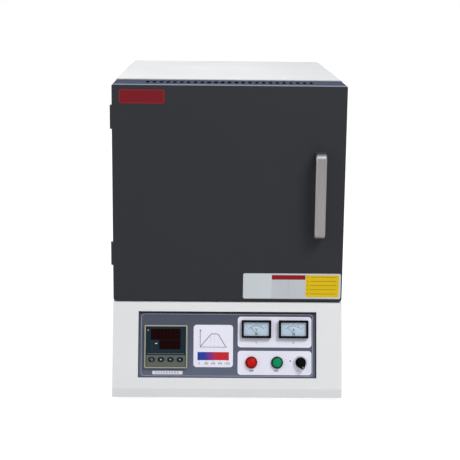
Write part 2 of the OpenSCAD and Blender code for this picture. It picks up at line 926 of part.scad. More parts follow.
module hinge_pins() {
    for (z = hinge_z)
        color("silver") translate([hinge_x, hinge_y, z - hinge_len / 2]) {
            cylinder(r = hinge_pin_r, h = hinge_len + eps);
            translate([0, 0, hinge_len]) cylinder(r = hinge_pin_r + 1.5, h = 1.5);
        }
}

// ---------- control panel ----------

module panel_cutouts(gap, depth) {
    translate([0, 0, -depth]) linear_extrude(2 * depth) {
        translate(ctrl_at) square(ctrl_w - 4 + 2 * gap, center = true);
        for (at = [volt_at, amp_at])
            translate(at) square([dial_w + 2 + 2 * gap, dial_h + 2 + 2 * gap], center = true);
        for (at = [red_at, green_at, selector_at]) translate(at) circle(neck_r + gap);
    }
}

module control_panel() {
    margin = 7;
    color("slategray") on_panel() difference() {
        translate([0, 0, -panel_t]) linear_extrude(panel_t)
            square([recess_w + 2 * margin, recess_h + 2 * margin], center = true);
        panel_cutouts(seam, 2 * panel_t);
    }
}

module panel_labels() {
    color("white") on_panel() difference() {
        linear_extrude(label_t) {
            translate(graph_at) rounded(graph_w, graph_h, label_r);
            translate(meters_at) rounded(plate_w, meters_h, label_r);
            translate(buttons_at) rounded(plate_w, buttons_h, label_r);
            translate(strip_at) rounded(strip_w, strip_h, 1.5);
        }
        panel_cutouts(seam, 2 * panel_t);
    }
}

module controller_case() {
    depth = 85;
    w = ctrl_w - 4;
    front = z_face - face_t - key_travel - 2 * run_gap - 0.5;
    color("dimgray") on_panel(ctrl_at) translate([0, 0, -depth]) {
        linear_extrude(depth) square(w, center = true);
        linear_extrude(depth + front) square(ctrl_w - 2 * ctrl_rim - 2 * seam, center = true);
    }
}

module controller_bezel() {
    step = 1.5;
    color("lightgray") on_panel(ctrl_at) difference() {
        union() {
            linear_extrude(ctrl_rise - step) rounded(ctrl_w, ctrl_w, 3);
            linear_extrude(ctrl_rise) rounded(ctrl_w - 2, ctrl_w - 2, 2);
        }
        translate([0, 0, -1]) linear_extrude(ctrl_rise + 2) square(ctrl_w - 2 * ctrl_rim, center = true);
    }
}

module at_keys() {
    for (i = [0 : 3]) translate([(i - 1.5) * key_pitch, key_row]) children();
}

module controller_face() {
    w = ctrl_w - 2 * ctrl_rim - 2 * seam;
    color("midnightblue") on_panel(ctrl_at) translate([0, 0, z_face - face_t])
        linear_extrude(face_t) difference() {
            square(w, center = true);
            at_keys() stadium(key_len + 2 * run_gap, key_w + 2 * run_gap);
        }
}

module instrument_windows() {
    color("maroon") on_panel(ctrl_at) translate([0, 0, z_face]) linear_extrude(window_t) {
        translate(display_1_at) rounded(display_1_w, display_1_h, 1);
        translate(display_2_at) rounded(display_2_w, display_2_h, 1);
    }
    for (at = [volt_at, amp_at])
        color("lightblue", 0.4) on_panel(at) translate([0, 0, z_meter_glass]) linear_extrude(meter_glass_t)
            square([dial_w - 2 * seam, dial_h - 2 * seam], center = true);
}

module meter_cases() {
    depth = 32;
    for (at = [volt_at, amp_at])
        color("black") on_panel(at) difference() {
            union() {
                translate([0, 0, label_t]) linear_extrude(meter_rise) rounded(meter_w, meter_h, 2);
                translate([0, 0, -depth]) linear_extrude(depth + 1)
                    square([dial_w + 2, dial_h + 2], center = true);
            }
            translate([0, 0, dial_z]) linear_extrude(meter_rise) square([dial_w, dial_h], center = true);
        }
}

module meter_dials() {
    for (at = [volt_at, amp_at])
        color("azure") on_panel(at) {
            translate([0, 0, dial_z]) linear_extrude(dial_t)
                square([dial_w - 2 * seam, dial_h - 2 * seam], center = true);
            translate([0, pivot_v, dial_z]) cylinder(r = pivot_r, h = 3.6);
        }
}

// A needle standing at the dial's left end, with a short tail as its counterweight
module needle(at) {
    hub_t = 1.6;
    blade_w = 0.8;
    tail_w = 2.4;
    tail_len = 3;
    color("black") on_panel(at) translate([0, pivot_v, needle_z]) rotate([0, 0, 45]) difference() {
        union() {
            cylinder(r = needle_hub_r, h = hub_t);
            translate([-blade_w / 2, 0, 0.5]) cube([blade_w, needle_len, 0.5]);
            translate([-tail_w / 2, -needle_hub_r - 1.6, 0.3]) cube([tail_w, tail_len, 1]);
        }
        translate([0, 0, -1]) cylinder(r = pivot_r + shaft_gap, h = hub_t + 2);
    }
}

// Bezel with a wide pocket for the cap or knob and a guide bore for its stem
module switch_bezel(r, pocket_r) {
    edge = 1;
    guide_r = stem_r + shaft_gap;
    rotate_extrude() difference() {
        union() {
            translate([0, -neck_len]) square([neck_r, neck_len + label_t]);
            translate([0, label_t]) square([r - edge, bezel_rise]);
            translate([0, label_t]) square([r, bezel_rise - edge]);
            translate([r - edge, label_t + bezel_rise - edge]) circle(edge);
        }
        translate([-1, -neck_len - 1]) square([guide_r + 1, neck_len + 4]);
        translate([-1, z_pocket]) square([pocket_r + 1, bezel_rise]);
    }
}

module button_bezels() {
    for (at = [red_at, green_at])
        color("maroon") on_panel(at) switch_bezel(button_bezel_r, button_cap_r + run_gap);
}

module selector_bezel() {
    color("silver") on_panel(selector_at) switch_bezel(selector_bezel_r, selector_r + run_gap);
}

module switch_blocks() {
    for (at = [red_at, green_at, selector_at])
        color("dimgray") on_panel(at) translate([0, 0, -neck_len - switch_depth])
            linear_extrude(switch_depth) rounded(switch_w, switch_h, 2);
}

// Cap with a domed lens and its stem, standing button_travel above its stop
module button_cap() {
    low = z_pocket + button_travel + run_gap;
    rim = 3;
    dome = 1.4;
    dome_r = (button_cap_r * button_cap_r + dome * dome) / 2 / dome;
    rotate_extrude() {
        translate([0, low]) square([button_cap_r, rim]);
        intersection() {
            translate([0, low + rim + dome - dome_r]) circle(dome_r, $fn = 256);
            translate([0, low]) square([button_cap_r, rim + dome]);
        }
        translate([0, low - neck_len]) square([stem_r, neck_len + 1]);
    }
}

module red_button() {
    color("red") on_panel(red_at) button_cap();
}

module green_button() {
    color("green") on_panel(green_at) button_cap();
}

module selector_knob() {
    low = z_pocket + run_gap;
    disc = 5.2;
    tip_r = 1.5;
    grip_r = 4.6;
    tail_r = 3.4;
    tail_inset = 0.6;
    root = 1;
    color("black") on_panel(selector_at) {
        translate([0, 0, low]) cylinder(r = selector_r, h = disc);
        translate([0, 0, low - neck_len + 3]) cylinder(r = stem_r, h = neck_len - 2);
        translate([0, 0, low + disc - root]) rotate([0, 0, selector_turn])
            linear_extrude(selector_grip_h + root) hull() {
                translate([selector_grip_reach - tip_r, 0]) circle(r = tip_r, $fn = 24);
                circle(r = grip_r, $fn = 32);
                translate([tail_r + tail_inset - selector_r, 0]) circle(r = tail_r, $fn = 32);
            }
    }
}

module key(i) {
    color("black") on_panel(ctrl_at) translate([(i - 1.5) * key_pitch, key_row, z_face - face_t])
        linear_extrude(face_t + key_travel + 0.6) stadium(key_len, key_w);
}

// ---------- electrical pieces in the base ----------

module power_regulator() {
    w = regulator_w / 2;
    d = regulator_len / 2;
    box_w = 0.29 * regulator_w;
    box_d = regulator_len / 3;
    box_h = 34;
    color("silver") translate([fan_x, regulator_y, z_floor]) {
        block([-w, -d, 0], [w, d, regulator_base_t]);
        for (i = [0 : fin_count - 1])
            translate([-w + i * (regulator_w - fin_t) / (fin_count - 1), 0, 0])
                block([0, -d, regulator_base_t - eps], [fin_t, d, regulator_h]);
    }
    color("dimgray") translate([fan_x, regulator_y, z_floor + regulator_h - eps])
        block([-box_w, -box_d, 0], [box_w, box_d, box_h]);
}

module contactor() {
    w = contactor_w / 2;
    d = contactor_len / 2;
    body = 0.62 * contactor_h;
    inset = 5;
    color("dimgray") translate([contactor_x, regulator_y, z_floor]) {
        block([-w, -d, 0], [w, d, body]);
        block([-w + inset, -0.7 * d, body - eps], [w - inset, 0.7 * d, contactor_h]);
    }
}

module terminal_block() {
    len = terminal_count * terminal_pitch;
    d = terminal_len / 2;
    gap = 0.5;
    shoulder = rail_t + 0.7 * (terminal_h - rail_t);
    color("beige") translate([gland_x, terminal_y, z_floor]) {
        block([-len / 2 - 6, -5, 0], [len / 2 + 6, 5, rail_t]);
        for (i = [0 : terminal_count - 1])
            translate([-len / 2 + i * terminal_pitch, 0, 0]) {
                block([0, -d, rail_t - eps], [terminal_pitch - gap, d, shoulder]);
                block([1, -d / 2, shoulder - eps], [terminal_pitch - gap - 1, d / 2, terminal_h]);
            }
    }
}

// Frame local to the fan: z = 0 at its inner side, z = fan_d against the rear panel
module on_fan() {
    translate([fan_x, y_rear - sheet - fan_d, fan_z]) rotate([-90, 0, 0]) children();
}

module fan_frame() {
    arm_w = 6;
    color("dimgray") on_fan() {
        difference() {
            linear_extrude(fan_d) rounded(fan_w, fan_w, 5);
            translate([0, 0, -1]) cylinder(r = fan_bore_r, h = fan_d + 2);
            for (x = [-1, 1], y = [-1, 1])
                translate([x * fan_screw, y * fan_screw, -1]) cylinder(r = screw_r + seam, h = fan_d + 2);
        }
        for (turn = [45 : 90 : 315])
            rotate([0, 0, turn]) block([hub_r - 3, -arm_w / 2, 0], [fan_bore_r + 1, arm_w / 2, fan_arm_t]);
        cylinder(r = hub_r, h = fan_arm_t);
        cylinder(r = fan_shaft_r, h = fan_d - 8);
    }
}

module fan_rotor() {
    z0 = fan_arm_t + 1;
    depth = fan_d - 10;
    blade_w = 30;
    blade_t = 2;
    blade_turn = 38;
    color("black") on_fan() difference() {
        union() {
            translate([0, 0, z0]) cylinder(r = hub_r - 0.5, h = depth);
            intersection() {
                translate([0, 0, z0]) cylinder(r = fan_bore_r - 1.5, h = depth);
                for (i = [0 : blade_count - 1])
                    rotate([0, 0, i * 360 / blade_count]) translate([hub_r - 3, 0, z0 + depth / 2])
                        rotate([blade_turn, 0, 0]) translate([0, -blade_w / 2, -blade_t / 2])
                            cube([fan_bore_r, blade_w, blade_t]);
            }
        }
        translate([0, 0, z0 - 1]) cylinder(r = fan_shaft_r + shaft_gap, h = fan_d - 10);
    }
}

module fan_guard() {
    bar_r = 1.2;
    bar_z = 2.8;
    ring_z = bar_z + 0.6;
    bar_reach = fan_screw * sqrt(2) - screw_head_r - 0.3;
    color("silver") translate([fan_x, y_rear, fan_z]) rotate([-90, 0, 0]) {
        for (r = [14 : 10 : 54])
            translate([0, 0, ring_z]) rotate_extrude() translate([r, 0]) circle(bar_r, $fn = 24);
        for (turn = [45, 135])
            rotate([0, 0, turn]) translate([-bar_reach, 0, bar_z]) rotate([0, 90, 0])
                cylinder(r = bar_r, h = 2 * bar_reach, $fn = 24);
        for (x = [-1, 1], y = [-1, 1]) translate([x * fan_screw, y * fan_screw, 0]) difference() {
            cylinder(r = screw_head_r + 1, h = guard_foot_t);
            translate([0, 0, -1]) cylinder(r = screw_r + seam, h = guard_foot_t + 2);
        }
    }
}

// A length of the gland, from z0 to z0 + h behind the rear panel's outer face
module gland_part(z0, h, r1, r2, sides) {
    translate([gland_x, y_rear + z0, gland_z]) rotate([-90, 0, 0])
        cylinder(r1 = r1, r2 = r2, h = h, $fn = sides);
}

module cable_gland() {
    nut_r = gland_thread_r + 4;
    dome_r = gland_thread_r + 2;
    front = -sheet - gland_inside;
    dome_end = gland_reach - gland_taper;
    color("black") difference() {
        union() {
            gland_part(front, gland_inside + sheet + 1, gland_thread_r, gland_thread_r, 64);
            gland_part(-sheet - gland_nut_t, gland_nut_t, nut_r, nut_r, 6);
            gland_part(0, gland_flange, nut_r, nut_r, 6);
            gland_part(gland_flange - eps, dome_end - gland_flange + eps, dome_r, dome_r, 64);
            gland_part(dome_end - eps, gland_taper + eps, dome_r, gland_bore_r + 2, 64);
        }
        gland_part(front - 1, gland_inside + gland_reach + 5, gland_bore_r, gland_bore_r, 64);
    }
}

module cover_screws() {
    color("silver") {
        at_rear_screws() screw();
        at_base_screws() screw();
        at_fan_screws() translate([0, 0, guard_foot_t]) screw();
    }
}

// ---------- door ----------

// The door's outside: a rounded slab whose front edge is folded to door_edge_r all round
module door_block() {
    w = body_w - 2 * door_corner_r;
    h = door_h - 2 * door_corner_r;
    y_fold = y_door + door_edge_r;
    translate([0, 0, z_door_mid]) {
        along_y(y_fold, door_t - door_edge_r) rounded(body_w, door_h, door_corner_r);
        along_y(y_door, 2 * door_edge_r)
            rounded(body_w - 2 * door_edge_r, door_h - 2 * door_edge_r, door_corner_r - door_edge_r);
        for (x = [-1, 1])
            translate([x * (body_w / 2 - door_edge_r), y_fold, -h / 2]) cylinder(r = door_edge_r, h = h);
        for (z = [-1, 1])
            translate([-w / 2, y_fold, z * (door_h / 2 - door_edge_r)]) rotate([0, 90, 0])
                cylinder(r = door_edge_r, h = w);
        for (x = [-1, 1], z = [-1, 1])
            translate([x * w / 2, y_fold, z * h / 2]) rotate([90, 0, 0]) rotate_extrude()
                translate([door_corner_r - door_edge_r, 0]) circle(door_edge_r);
    }
}

module door_slots() {
    for (i = [0 : slot_count - 1])
        translate([(i - (slot_count - 1) / 2) * slot_pitch, y_door + slot_start + slot_len / 2, z_door - 1])
            linear_extrude(door_h + 2) rotate(90) stadium(slot_len, slot_w);
}

module door_shell() {
    color("dimgray") difference() {
        door_block();
        translate([0, 0, z_door_mid]) along_y(y_door + sheet, door_t)
            rounded(body_w - 2 * sheet, door_h - 2 * sheet, door_corner_r - sheet);
        door_slots();
    }
}

module door_inner_tray() {
    w = body_w - 2 * sheet - 2 * seam;
    h = door_h - 2 * sheet - 2 * seam;
    tray = door_board_w + 2 + 2 * seam;
    plug_hole = mouth_w - 2 * plug_gap + 2 * seam;
    front = y_door_back - sheet - door_board_t;
    color("lightgray") difference() {
        union() {
            translate([0, 0, z_door_mid]) along_y(y_door_back - sheet, sheet)
                rounded(w, h, door_corner_r - sheet - seam);
            translate([0, 0, z_mid]) along_y(front, door_board_t + eps) square(tray, center = true);
        }
        translate([0, 0, z_mid]) along_y(front - 1, door_board_t + 1) square(tray - 2, center = true);
        translate([0, 0, z_mid]) along_y(y_door_back - sheet - 1, sheet + 2)
            square(plug_hole, center = true);
    }
}

module door_insulation() {
    color("ivory") translate([0, 0, z_mid]) along_y(y_door_back - sheet - door_board_t, door_board_t - seam)
        square(door_board_w, center = true);
}

module door_plug() {
    root = mouth_w - 2 * plug_gap;
    color("ivory") hull() {
        translate([0, 0, z_mid]) along_y(y_door_back - sheet, 1) square(root, center = true);
        translate([0, 0, z_mid]) along_y(y_body + plug_d - 0.1, 0.1)
            square(root - 2 * plug_taper, center = true);
    }
}

module door_seal() {
    inner = mouth_w + 2 * seal_offset;
    color("white") translate([0, 0, z_mid]) along_y(y_door_back, door_gap - run_gap) difference() {
        square(inner + 2 * seal_w, center = true);
        square(inner, center = true);
    }
}

module catch_strike() {
    color("silver")
        block([magnet_x - magnet_w / 2, y_door_back, z_mid - magnet_h / 2],
              [magnet_x + magnet_w / 2, y_body - magnet_proud - run_gap, z_mid + magnet_h / 2]);
}

// (Y, Z) outline of one side of the bow, with y = 0 on the door
module bow(reach, len, r) {
    translate([-reach + r, -len / 2]) square([reach - r, len]);
    translate([-reach, -len / 2 + r]) square([r + eps, len - 2 * r]);
    for (z = [-1, 1]) translate([-reach + r, z * (len / 2 - r)]) circle(r);
}

module door_handle() {
    inner_r = handle_bend_r - handle_t;
    color("silver") translate([handle_x, y_door, handle_z]) along_x(handle_w) difference() {
        bow(handle_reach, handle_len, handle_bend_r);
        translate([eps, 0]) bow(handle_reach - handle_t, handle_len - 2 * handle_t, inner_r);
        translate([0, -handle_len]) square([1, 2 * handle_len]);
    }
}

module door_labels() {
    color("firebrick") translate([0, 0, z_door]) along_y(y_door - plate_t, plate_t) {
        translate(badge_at) rounded(badge_w, badge_h, 5);
        translate(card_at) rounded(card_w, card_h, 1);
    }
}

base_shell();
base_floor();
base_rear();
deck_plate();
rubber_feet();
support_rails();
side_panels();
top_cover();
rear_panel();
front_frame();
inner_casing();
backup_insulation();
mouth_collar();
chamber_boards();
chamber_side_boards();
hearth_plate();
heating_elements();
element_bushings();
element_terminals();
thermocouple();
hinge_fixed_leaves();
hinge_pins();
magnet_catch();
control_panel();
panel_labels();
controller_case();
controller_bezel();
controller_face();
instrument_windows();
meter_cases();
meter_dials();
button_bezels();
selector_bezel();
switch_blocks();
power_regulator();
contactor();
terminal_block();
fan_frame();
fan_guard();
cable_gland();
cover_screws();
door_shell();
door_inner_tray();
door_insulation();
door_plug();
door_seal();
door_handle();
hinge_door_leaves();
catch_strike();
door_labels();
red_button();
green_button();
selector_knob();
key(0);  // key_1
key(1);  // key_2
key(2);  // key_3
key(3);  // key_4
needle(volt_at);  // voltmeter_needle
needle(amp_at);  // ammeter_needle
fan_rotor();
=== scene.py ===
"""Muffle furnace: finishes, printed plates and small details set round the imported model."""

import json
import math

import bmesh
import bpy
from bpy.props import FloatProperty, FloatVectorProperty, IntProperty, PointerProperty
from mathutils import Matrix, Vector


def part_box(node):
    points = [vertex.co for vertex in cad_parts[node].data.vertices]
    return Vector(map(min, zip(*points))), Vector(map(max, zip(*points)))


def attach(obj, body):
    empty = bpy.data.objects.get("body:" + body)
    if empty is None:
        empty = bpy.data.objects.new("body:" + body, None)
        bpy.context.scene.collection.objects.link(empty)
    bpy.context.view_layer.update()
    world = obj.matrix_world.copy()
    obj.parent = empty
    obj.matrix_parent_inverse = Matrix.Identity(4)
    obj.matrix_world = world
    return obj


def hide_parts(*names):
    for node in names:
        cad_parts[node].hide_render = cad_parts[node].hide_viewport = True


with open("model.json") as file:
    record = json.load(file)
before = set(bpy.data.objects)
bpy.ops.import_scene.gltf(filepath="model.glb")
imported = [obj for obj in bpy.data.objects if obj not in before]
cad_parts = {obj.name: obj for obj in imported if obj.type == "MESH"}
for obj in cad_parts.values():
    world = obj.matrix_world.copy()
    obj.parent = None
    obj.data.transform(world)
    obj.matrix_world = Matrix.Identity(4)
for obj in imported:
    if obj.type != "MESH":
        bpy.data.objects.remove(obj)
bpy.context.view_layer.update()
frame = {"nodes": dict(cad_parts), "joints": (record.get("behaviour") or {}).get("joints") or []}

bl_info = {
    "name": "Muffle furnace",
    "version": (1, 0, 0),
    "blender": (4, 5, 0),
    "location": "View3D > Sidebar > Furnace",
    "description": "Finishes, printed plates and small details of a bench muffle furnace",
    "category": "Object",
}

MM = 0.001
JOINTS = {joint["name"]: joint for joint in frame["joints"]}

# Points nearer than this in millimetres are joined, and bevels round edges sharper than this in degrees
JOIN_DISTANCE = 1e-4
SHARP_ANGLE = 35

# The slanted panel: its directions across, up the slope and outwards, its sheet's thickness in
# millimetres, and the middle of its front
OUT = -Vector(JOINTS["selector_turn"]["axis"]).normalized()
ACROSS = Vector((1, 0, 0))
UP_SLOPE = OUT.cross(ACROSS)
PANEL_SHEET = 2.0
PANEL_LOW, PANEL_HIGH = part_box("control_panel")
PANEL_MIDDLE = (PANEL_LOW + PANEL_HIGH) / 2 + OUT * PANEL_SHEET / 2 * MM


def column(node):
    """The middle of a node across the panel, in millimetres."""
    low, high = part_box(node)
    return (low.x + high.x) / 2 / MM


def pivot(joint, rise=0.0):
    """A joint's place on the panel in millimetres, moved up the slope."""
    away = (Vector(JOINTS[joint]["pos_m"]) - PANEL_MIDDLE) / MM
    return (away.dot(ACROSS), away.dot(UP_SLOPE) + rise)


# Places on the panel in millimetres, from the middle of its recess
CONTROLLER = (column("controller_bezel"), -5.0)
GRAPH = (CONTROLLER[0] + 105.5, CONTROLLER[1] + 2.0)
STRIP = (CONTROLLER[0] + 4.0, CONTROLLER[1] - 57.5)
DIAL_RISE = 9.5
VOLTMETER = pivot("voltmeter_swing", DIAL_RISE)
AMMETER = pivot("ammeter_swing", DIAL_RISE)
SELECTOR = pivot("selector_turn")
BUTTON_ROW = SELECTOR[1] - 0.5
RED_BUTTON = (column("red_button"), BUTTON_ROW)
GREEN_BUTTON = (column("green_button"), BUTTON_ROW)

# Keys in millimetres: place from the controller's middle, pitch, and the strip's holes round them
KEY_ROW = -28.5
KEY_PITCH = column("key_2") - column("key_1")
KEY_COLUMNS = [(i - 1.5) * KEY_PITCH for i in range(4)]
KEY_HOLE_W, KEY_HOLE_H = 15.0, 11.0

# Heights above the panel's surface, in millimetres
PLATE_TOP = 0.5
FACE_TOP = 6.5
WINDOW_TOP = 7.5
KEY_TOP = 7.9
DIAL_TOP = 4.1
GLASS_LOW = 8.0
GLASS_TOP = 9.5
LENS_TOP = 10.7
BEZEL_TOP = 5.5

# Painted shade darkens a button's lens between these distances from its middle, in millimetres
LENS_RIM_SHADE = (8.0, 11.2)

# Thickness of printed marks, in millimetres
INK = 0.06
FINE_INK = 0.05
DIAL_INK = 0.07
HEAVY_INK = 0.08
CURVE_INK = 0.1

# Painted shadow round the panel's recess in millimetres: the recess, the gap at its edge and the dark band's
# widths
RECESS_W, RECESS_H = 397.0, 147.0
SHADOW_GAP = 0.3
SHADOW_SIDE, SHADOW_FOOT, SHADOW_HEAD = 1.6, 1.3, 3.8
LINE_W, LINE_H, LINE_CORNER = 383.0, 138.0, 8.0
LINE_PLACE = (-0.8, -1.0)

# Marks on the panel: text, place in millimetres, size of the letters, number of the finish and weight
CAPTION, CAPTION_ROW = 6.0, BUTTON_ROW - 19.0
UNIT, UNIT_ROW = 8.0, VOLTMETER[1] - 30.0
MARKS = (
    ("OFF", (RED_BUTTON[0], CAPTION_ROW), CAPTION, 0, 0.12),
    ("ON", (GREEN_BUTTON[0] - 2.0, CAPTION_ROW), CAPTION, 0, 0.12),
    ("1", (SELECTOR[0] - 7.0, SELECTOR[1] - 19.0), CAPTION, 0, 0.2),
    ("V", (VOLTMETER[0], UNIT_ROW), UNIT, 1, 0.0),
    ("A", (AMMETER[0], UNIT_ROW), UNIT, 1, 0.0),
)
DOT_MARK, DOT_MARK_RADIUS = (SELECTOR[0] - 23.0, SELECTOR[1] + 3.0), 1.7

# Bare strip under the controller in millimetres: its line and the row of blocks inside it
STRIP_W, STRIP_H, STRIP_LINE = 64.0, 5.4, 0.4
BLOCKS, BLOCK_START, BLOCK_PITCH = 9, -27.0, 6.0
BLOCK_W, BLOCK_H = 3.5, 2.4

# Graph in millimetres from its plate's middle: axes and their ticks, curve, dashed lines (place and top),
# temperature bar and the bar's numbers
GRAPH_LEFT, GRAPH_RIGHT, GRAPH_FOOT, GRAPH_HEAD = -29.0, 31.0, -2.5, 37.5
AXIS_W, FOOT_AXIS_W, CURVE_W, TICK_W = 1.0, 0.9, 1.3, 0.6
ARROW_REACH, ARROW_H = 2.0, 5.0
CURVE = ((-28.5, -1.5), (-7.0, 24.0), (-3.0, 27.0), (8.0, 27.0), (12.0, 24.5), (28.0, -1.8))
TICKS, TICK_PITCH_X, TICK_PITCH_Y = 5, 10.0, 5.6
DASHED_LINES, DASHES, DASH, DASH_W = ((-6.0, 20.0), (2.5, 22.0), (11.0, 20.0)), 4, 3.0, 0.5
BAR_REACH, BAR_LOW, BAR_HIGH = 35.0, -31.5, -13.5
BAR_NUMBERS, NUMBER_STEP, NUMBER_PITCH, NUMBER_SIZE = 5, 300, 15.5, 6.4

# Meter scale in millimetres: its middle below the dial's, its radius and that of its numbers
SCALE_MIDDLE = (0.0, -16.5)
SCALE_RADIUS = 23.6
NUMBER_RADIUS = 29.0
SCALE_START, SCALE_END = 45, 135
SCALE_LINE = 0.55
LONG_MARKS = 5
FINE_MARK, LONG_MARK, MARK_WIDTH = 1.8, 3.0, 0.42
DIAL_NUMBER, DIAL_UNIT, UNIT_RISE, UNIT_WEIGHT = 2.9, 7.5, -1.2, 0.3
SMALL_PRINT_W, SMALL_PRINT_H, SMALL_PRINT_ROW = 10.0, 0.3, -12.2
METER_PANE_W, METER_PANE_H = 55.6, 29.6

# Profiles of turned pieces as (radius, height) pairs in millimetres
BUTTON_BEZEL = ((7.05, -14), (11, -14), (11, 0.5), (13.5, 0.5), (13.5, 3.9), (13.2, 4.9), (12.5, BEZEL_TOP),
                (11.4, BEZEL_TOP), (10.9, 5.2), (10.6, 4.4), (10.6, 2.0), (7.05, 2.0), (7.05, -14))
KNOB_STEM = ((0, -8.7), (7, -8.7), (7, 2.3), (10.8, 2.3), (10.8, 6.1), (0, 6.1))

# Selector in millimetres: its skirt, its grip and the angle in degrees at which it rests
SKIRT_RADIUS, SKIRT_TIP = 11.5, 3.4
SKIRT_LOW, SKIRT_TOP = 6.0, 8.4
GRIP_LOW, GRIP_TOP = 8.3, 18.9
GRIP_SHORTER = 0.6
# The grip's white mark in millimetres: a pointer mark that is also a painted highlight on the knob
SELECTOR_GLINT_MARK_W, SELECTOR_GLINT_MARK_H, GLINT_MARK_BACK = 4.4, 0.8, 4.2
SELECTOR_REST = -68

# Handle in millimetres: thickness of its bar, outer radius of its bends, edges
HANDLE_BAR = 7.0
HANDLE_BEND = 16.0
HANDLE_BACK_EDGE = 0.8
CHAMFER_SLOPE = 0.7

# Door plates in millimetres. The badge's line: how much less than the plate its outer and inner edge
# span, with their corners. The card's fields: left, low, right, high from its middle
BADGE_W, BADGE_H, BADGE_CORNER = 99.0, 31.0, 5.0
CARD_W, CARD_H, CARD_CORNER = 218.0, 58.0, 4.0
BADGE_T, CARD_T, FIELD_TOP = 0.7, 0.62, 0.7
BADGE_LINE = ((2.6, 4.0), (3.4, 3.7))
CARD_FIELDS = {
    "card_silver": (-108.4, -27.6, -45.8, 27.6),
    "card_white": (-45.2, -27.6, 29.6, 14.2),
    "card_red": (-45.2, 15.0, 29.6, 25.4),
    "card_yellow": (30.4, -24.8, 104.6, 25.4),
}
# The line down the white field, and the ruled lines of the yellow one with their dots
FIELD_RULE, FIELD_RULE_W = ((-8.2, -15.0), (-8.2, 14.2)), 0.4
RULES, RULE_TOP, RULE_PITCH = 5, 21.2, 9.6
RULE_LEFT, RULE_RIGHT, RULE_W = 41.0, 99.0, 0.9
DOT_X, DOT_RADIUS = 35.0, 1.1

# Hinge leaves and their screws, in millimetres
LEAF_W, LEAF_H, LEAF_T = 25.0, 54.0, 3.0
SCREW_PITCH = 18.0
SCREW_RISE = 0.9

# Screw heads: width of the recess and top of the head as shares of the radius, recess's length in widths
RECESS_SHARE = 0.34
TOP_SHARE = 0.72
RECESS_LENGTHS = 3.2

DOOR_LOW, DOOR_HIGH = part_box("door_shell")
HANDLE_LOW, HANDLE_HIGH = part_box("door_handle")
LABELS_LOW, LABELS_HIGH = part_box("door_labels")

# Painted light on the door's paint: how far below its top the painted highlight on the fold and the painted
# sheen on the top begin and end, in millimetres
FOLD_HIGHLIGHT = (3.0, 2.6)
TOP_SHEEN = (0.9, 0.4)

# Stage in metres: half the floor's side, the camera's place, and each lamp's place, width and share of power
FLOOR_REACH = 40.0
CAMERA_PLACE = (-0.0371, -2.8909, 0.9122)
SENSOR_WIDTH = 36.0
CLIP_END = 200.0
LAMP_TARGET = Vector((0, -0.05, 0.38))
LAMPS = {
    "key_light": ((1.7, -2.6, 3.3), 1.8, "key", 1.0),
    "fill_light": ((-2.6, -1.9, 1.5), 2.2, "fill", 1.0),
    "back_light": ((-0.6, 3.0, 1.8), 2.2, "fill", 0.4),
}
FLOOR_GLOW = 0.76
WORLD_DIM, WORLD_WHITE = 0.42, 1.0


# ---------- places ----------

def on_panel(at, height=0.0, turn=0.0):
    """Puts a shape in millimetres on the slanted panel: x across, y up the slope, z outwards."""
    axes = Matrix((ACROSS, UP_SLOPE, OUT)).transposed().to_4x4()
    local = Matrix.Translation((at[0], at[1], height)) @ Matrix.Rotation(math.radians(turn), 4, "Z")
    return Matrix.Translation(PANEL_MIDDLE) @ axes @ Matrix.Scale(MM, 4) @ local


def on_door(x, z):
    """Puts a shape in millimetres on the door's front: x across, y up, z towards the viewer."""
    axes = Matrix(((1, 0, 0), (0, 0, 1), (0, -1, 0))).transposed().to_4x4()
    return Matrix.Translation((x * MM, DOOR_LOW.y, z * MM)) @ axes @ Matrix.Scale(MM, 4)


# ---------- outlines, in millimetres ----------

def arc(radius, start, end, middle=(0, 0), steps=40):
    turns = [math.radians(start + (end - start) * i / steps) for i in range(steps + 1)]
    return [(middle[0] + radius * math.cos(a), middle[1] + radius * math.sin(a)) for a in turns]


def circle(radius, middle=(0, 0), steps=48):
    return arc(radius, 0, 360, middle, steps)[:-1]


def rectangle(x0, y0, x1, y1):
    return [(x0, y0), (x1, y0), (x1, y1), (x0, y1)]


def rounded(width, height, radius, middle=(0, 0), steps=8):
    points = []
    for quarter, (sx, sy) in enumerate(((1, 1), (-1, 1), (-1, -1), (1, -1))):
        corner = (middle[0] + sx * (width / 2 - radius), middle[1] + sy * (height / 2 - radius))
        points += arc(radius, 90 * quarter, 90 * quarter + 90, corner, steps)
    return points


def band(path, width):
    """The outline of a line of even width along an open path."""
    left, right = [], []
    for i, (x, y) in enumerate(path):
        before, after = path[max(i - 1, 0)], path[min(i + 1, len(path) - 1)]
        run = Vector((after[0] - before[0], after[1] - before[1])).normalized()
        half = width / 2
        if 0 < i < len(path) - 1:
            first = Vector((x - before[0], y - before[1])).normalized()
            half /= max(0.4, run.dot(first))
        left.append((x - run.y * half, y + run.x * half))
        right.append((x + run.y * half, y - run.x * half))
    return left + right[::-1]


def pointer_outline(radius, tip, reach):
    """A circle drawn out to one side: straight flanks run from it to its rounded tip."""
    apart = reach - tip
    lean = math.degrees(math.acos((radius - tip) / apart))
    return arc(tip, -lean, lean, (apart, 0), 16) + arc(radius, lean, 360 - lean, (0, 0), 64)


def grip_outline(reach):
    """The outline of the grip: broad at its tail and middle, narrow at its tip."""
    tip = arc(1.5, -80, 80, (reach - 1.5, 0), 12)
    upper_flank = arc(4.6, 78, 112, (0, 0), 8)
    tail = arc(3.4, 110, 250, (-7.5, 0), 16)
    lower_flank = arc(4.6, 248, 282, (0, 0), 8)
    return tip + upper_flank + tail + lower_flank


# ---------- shapes ----------

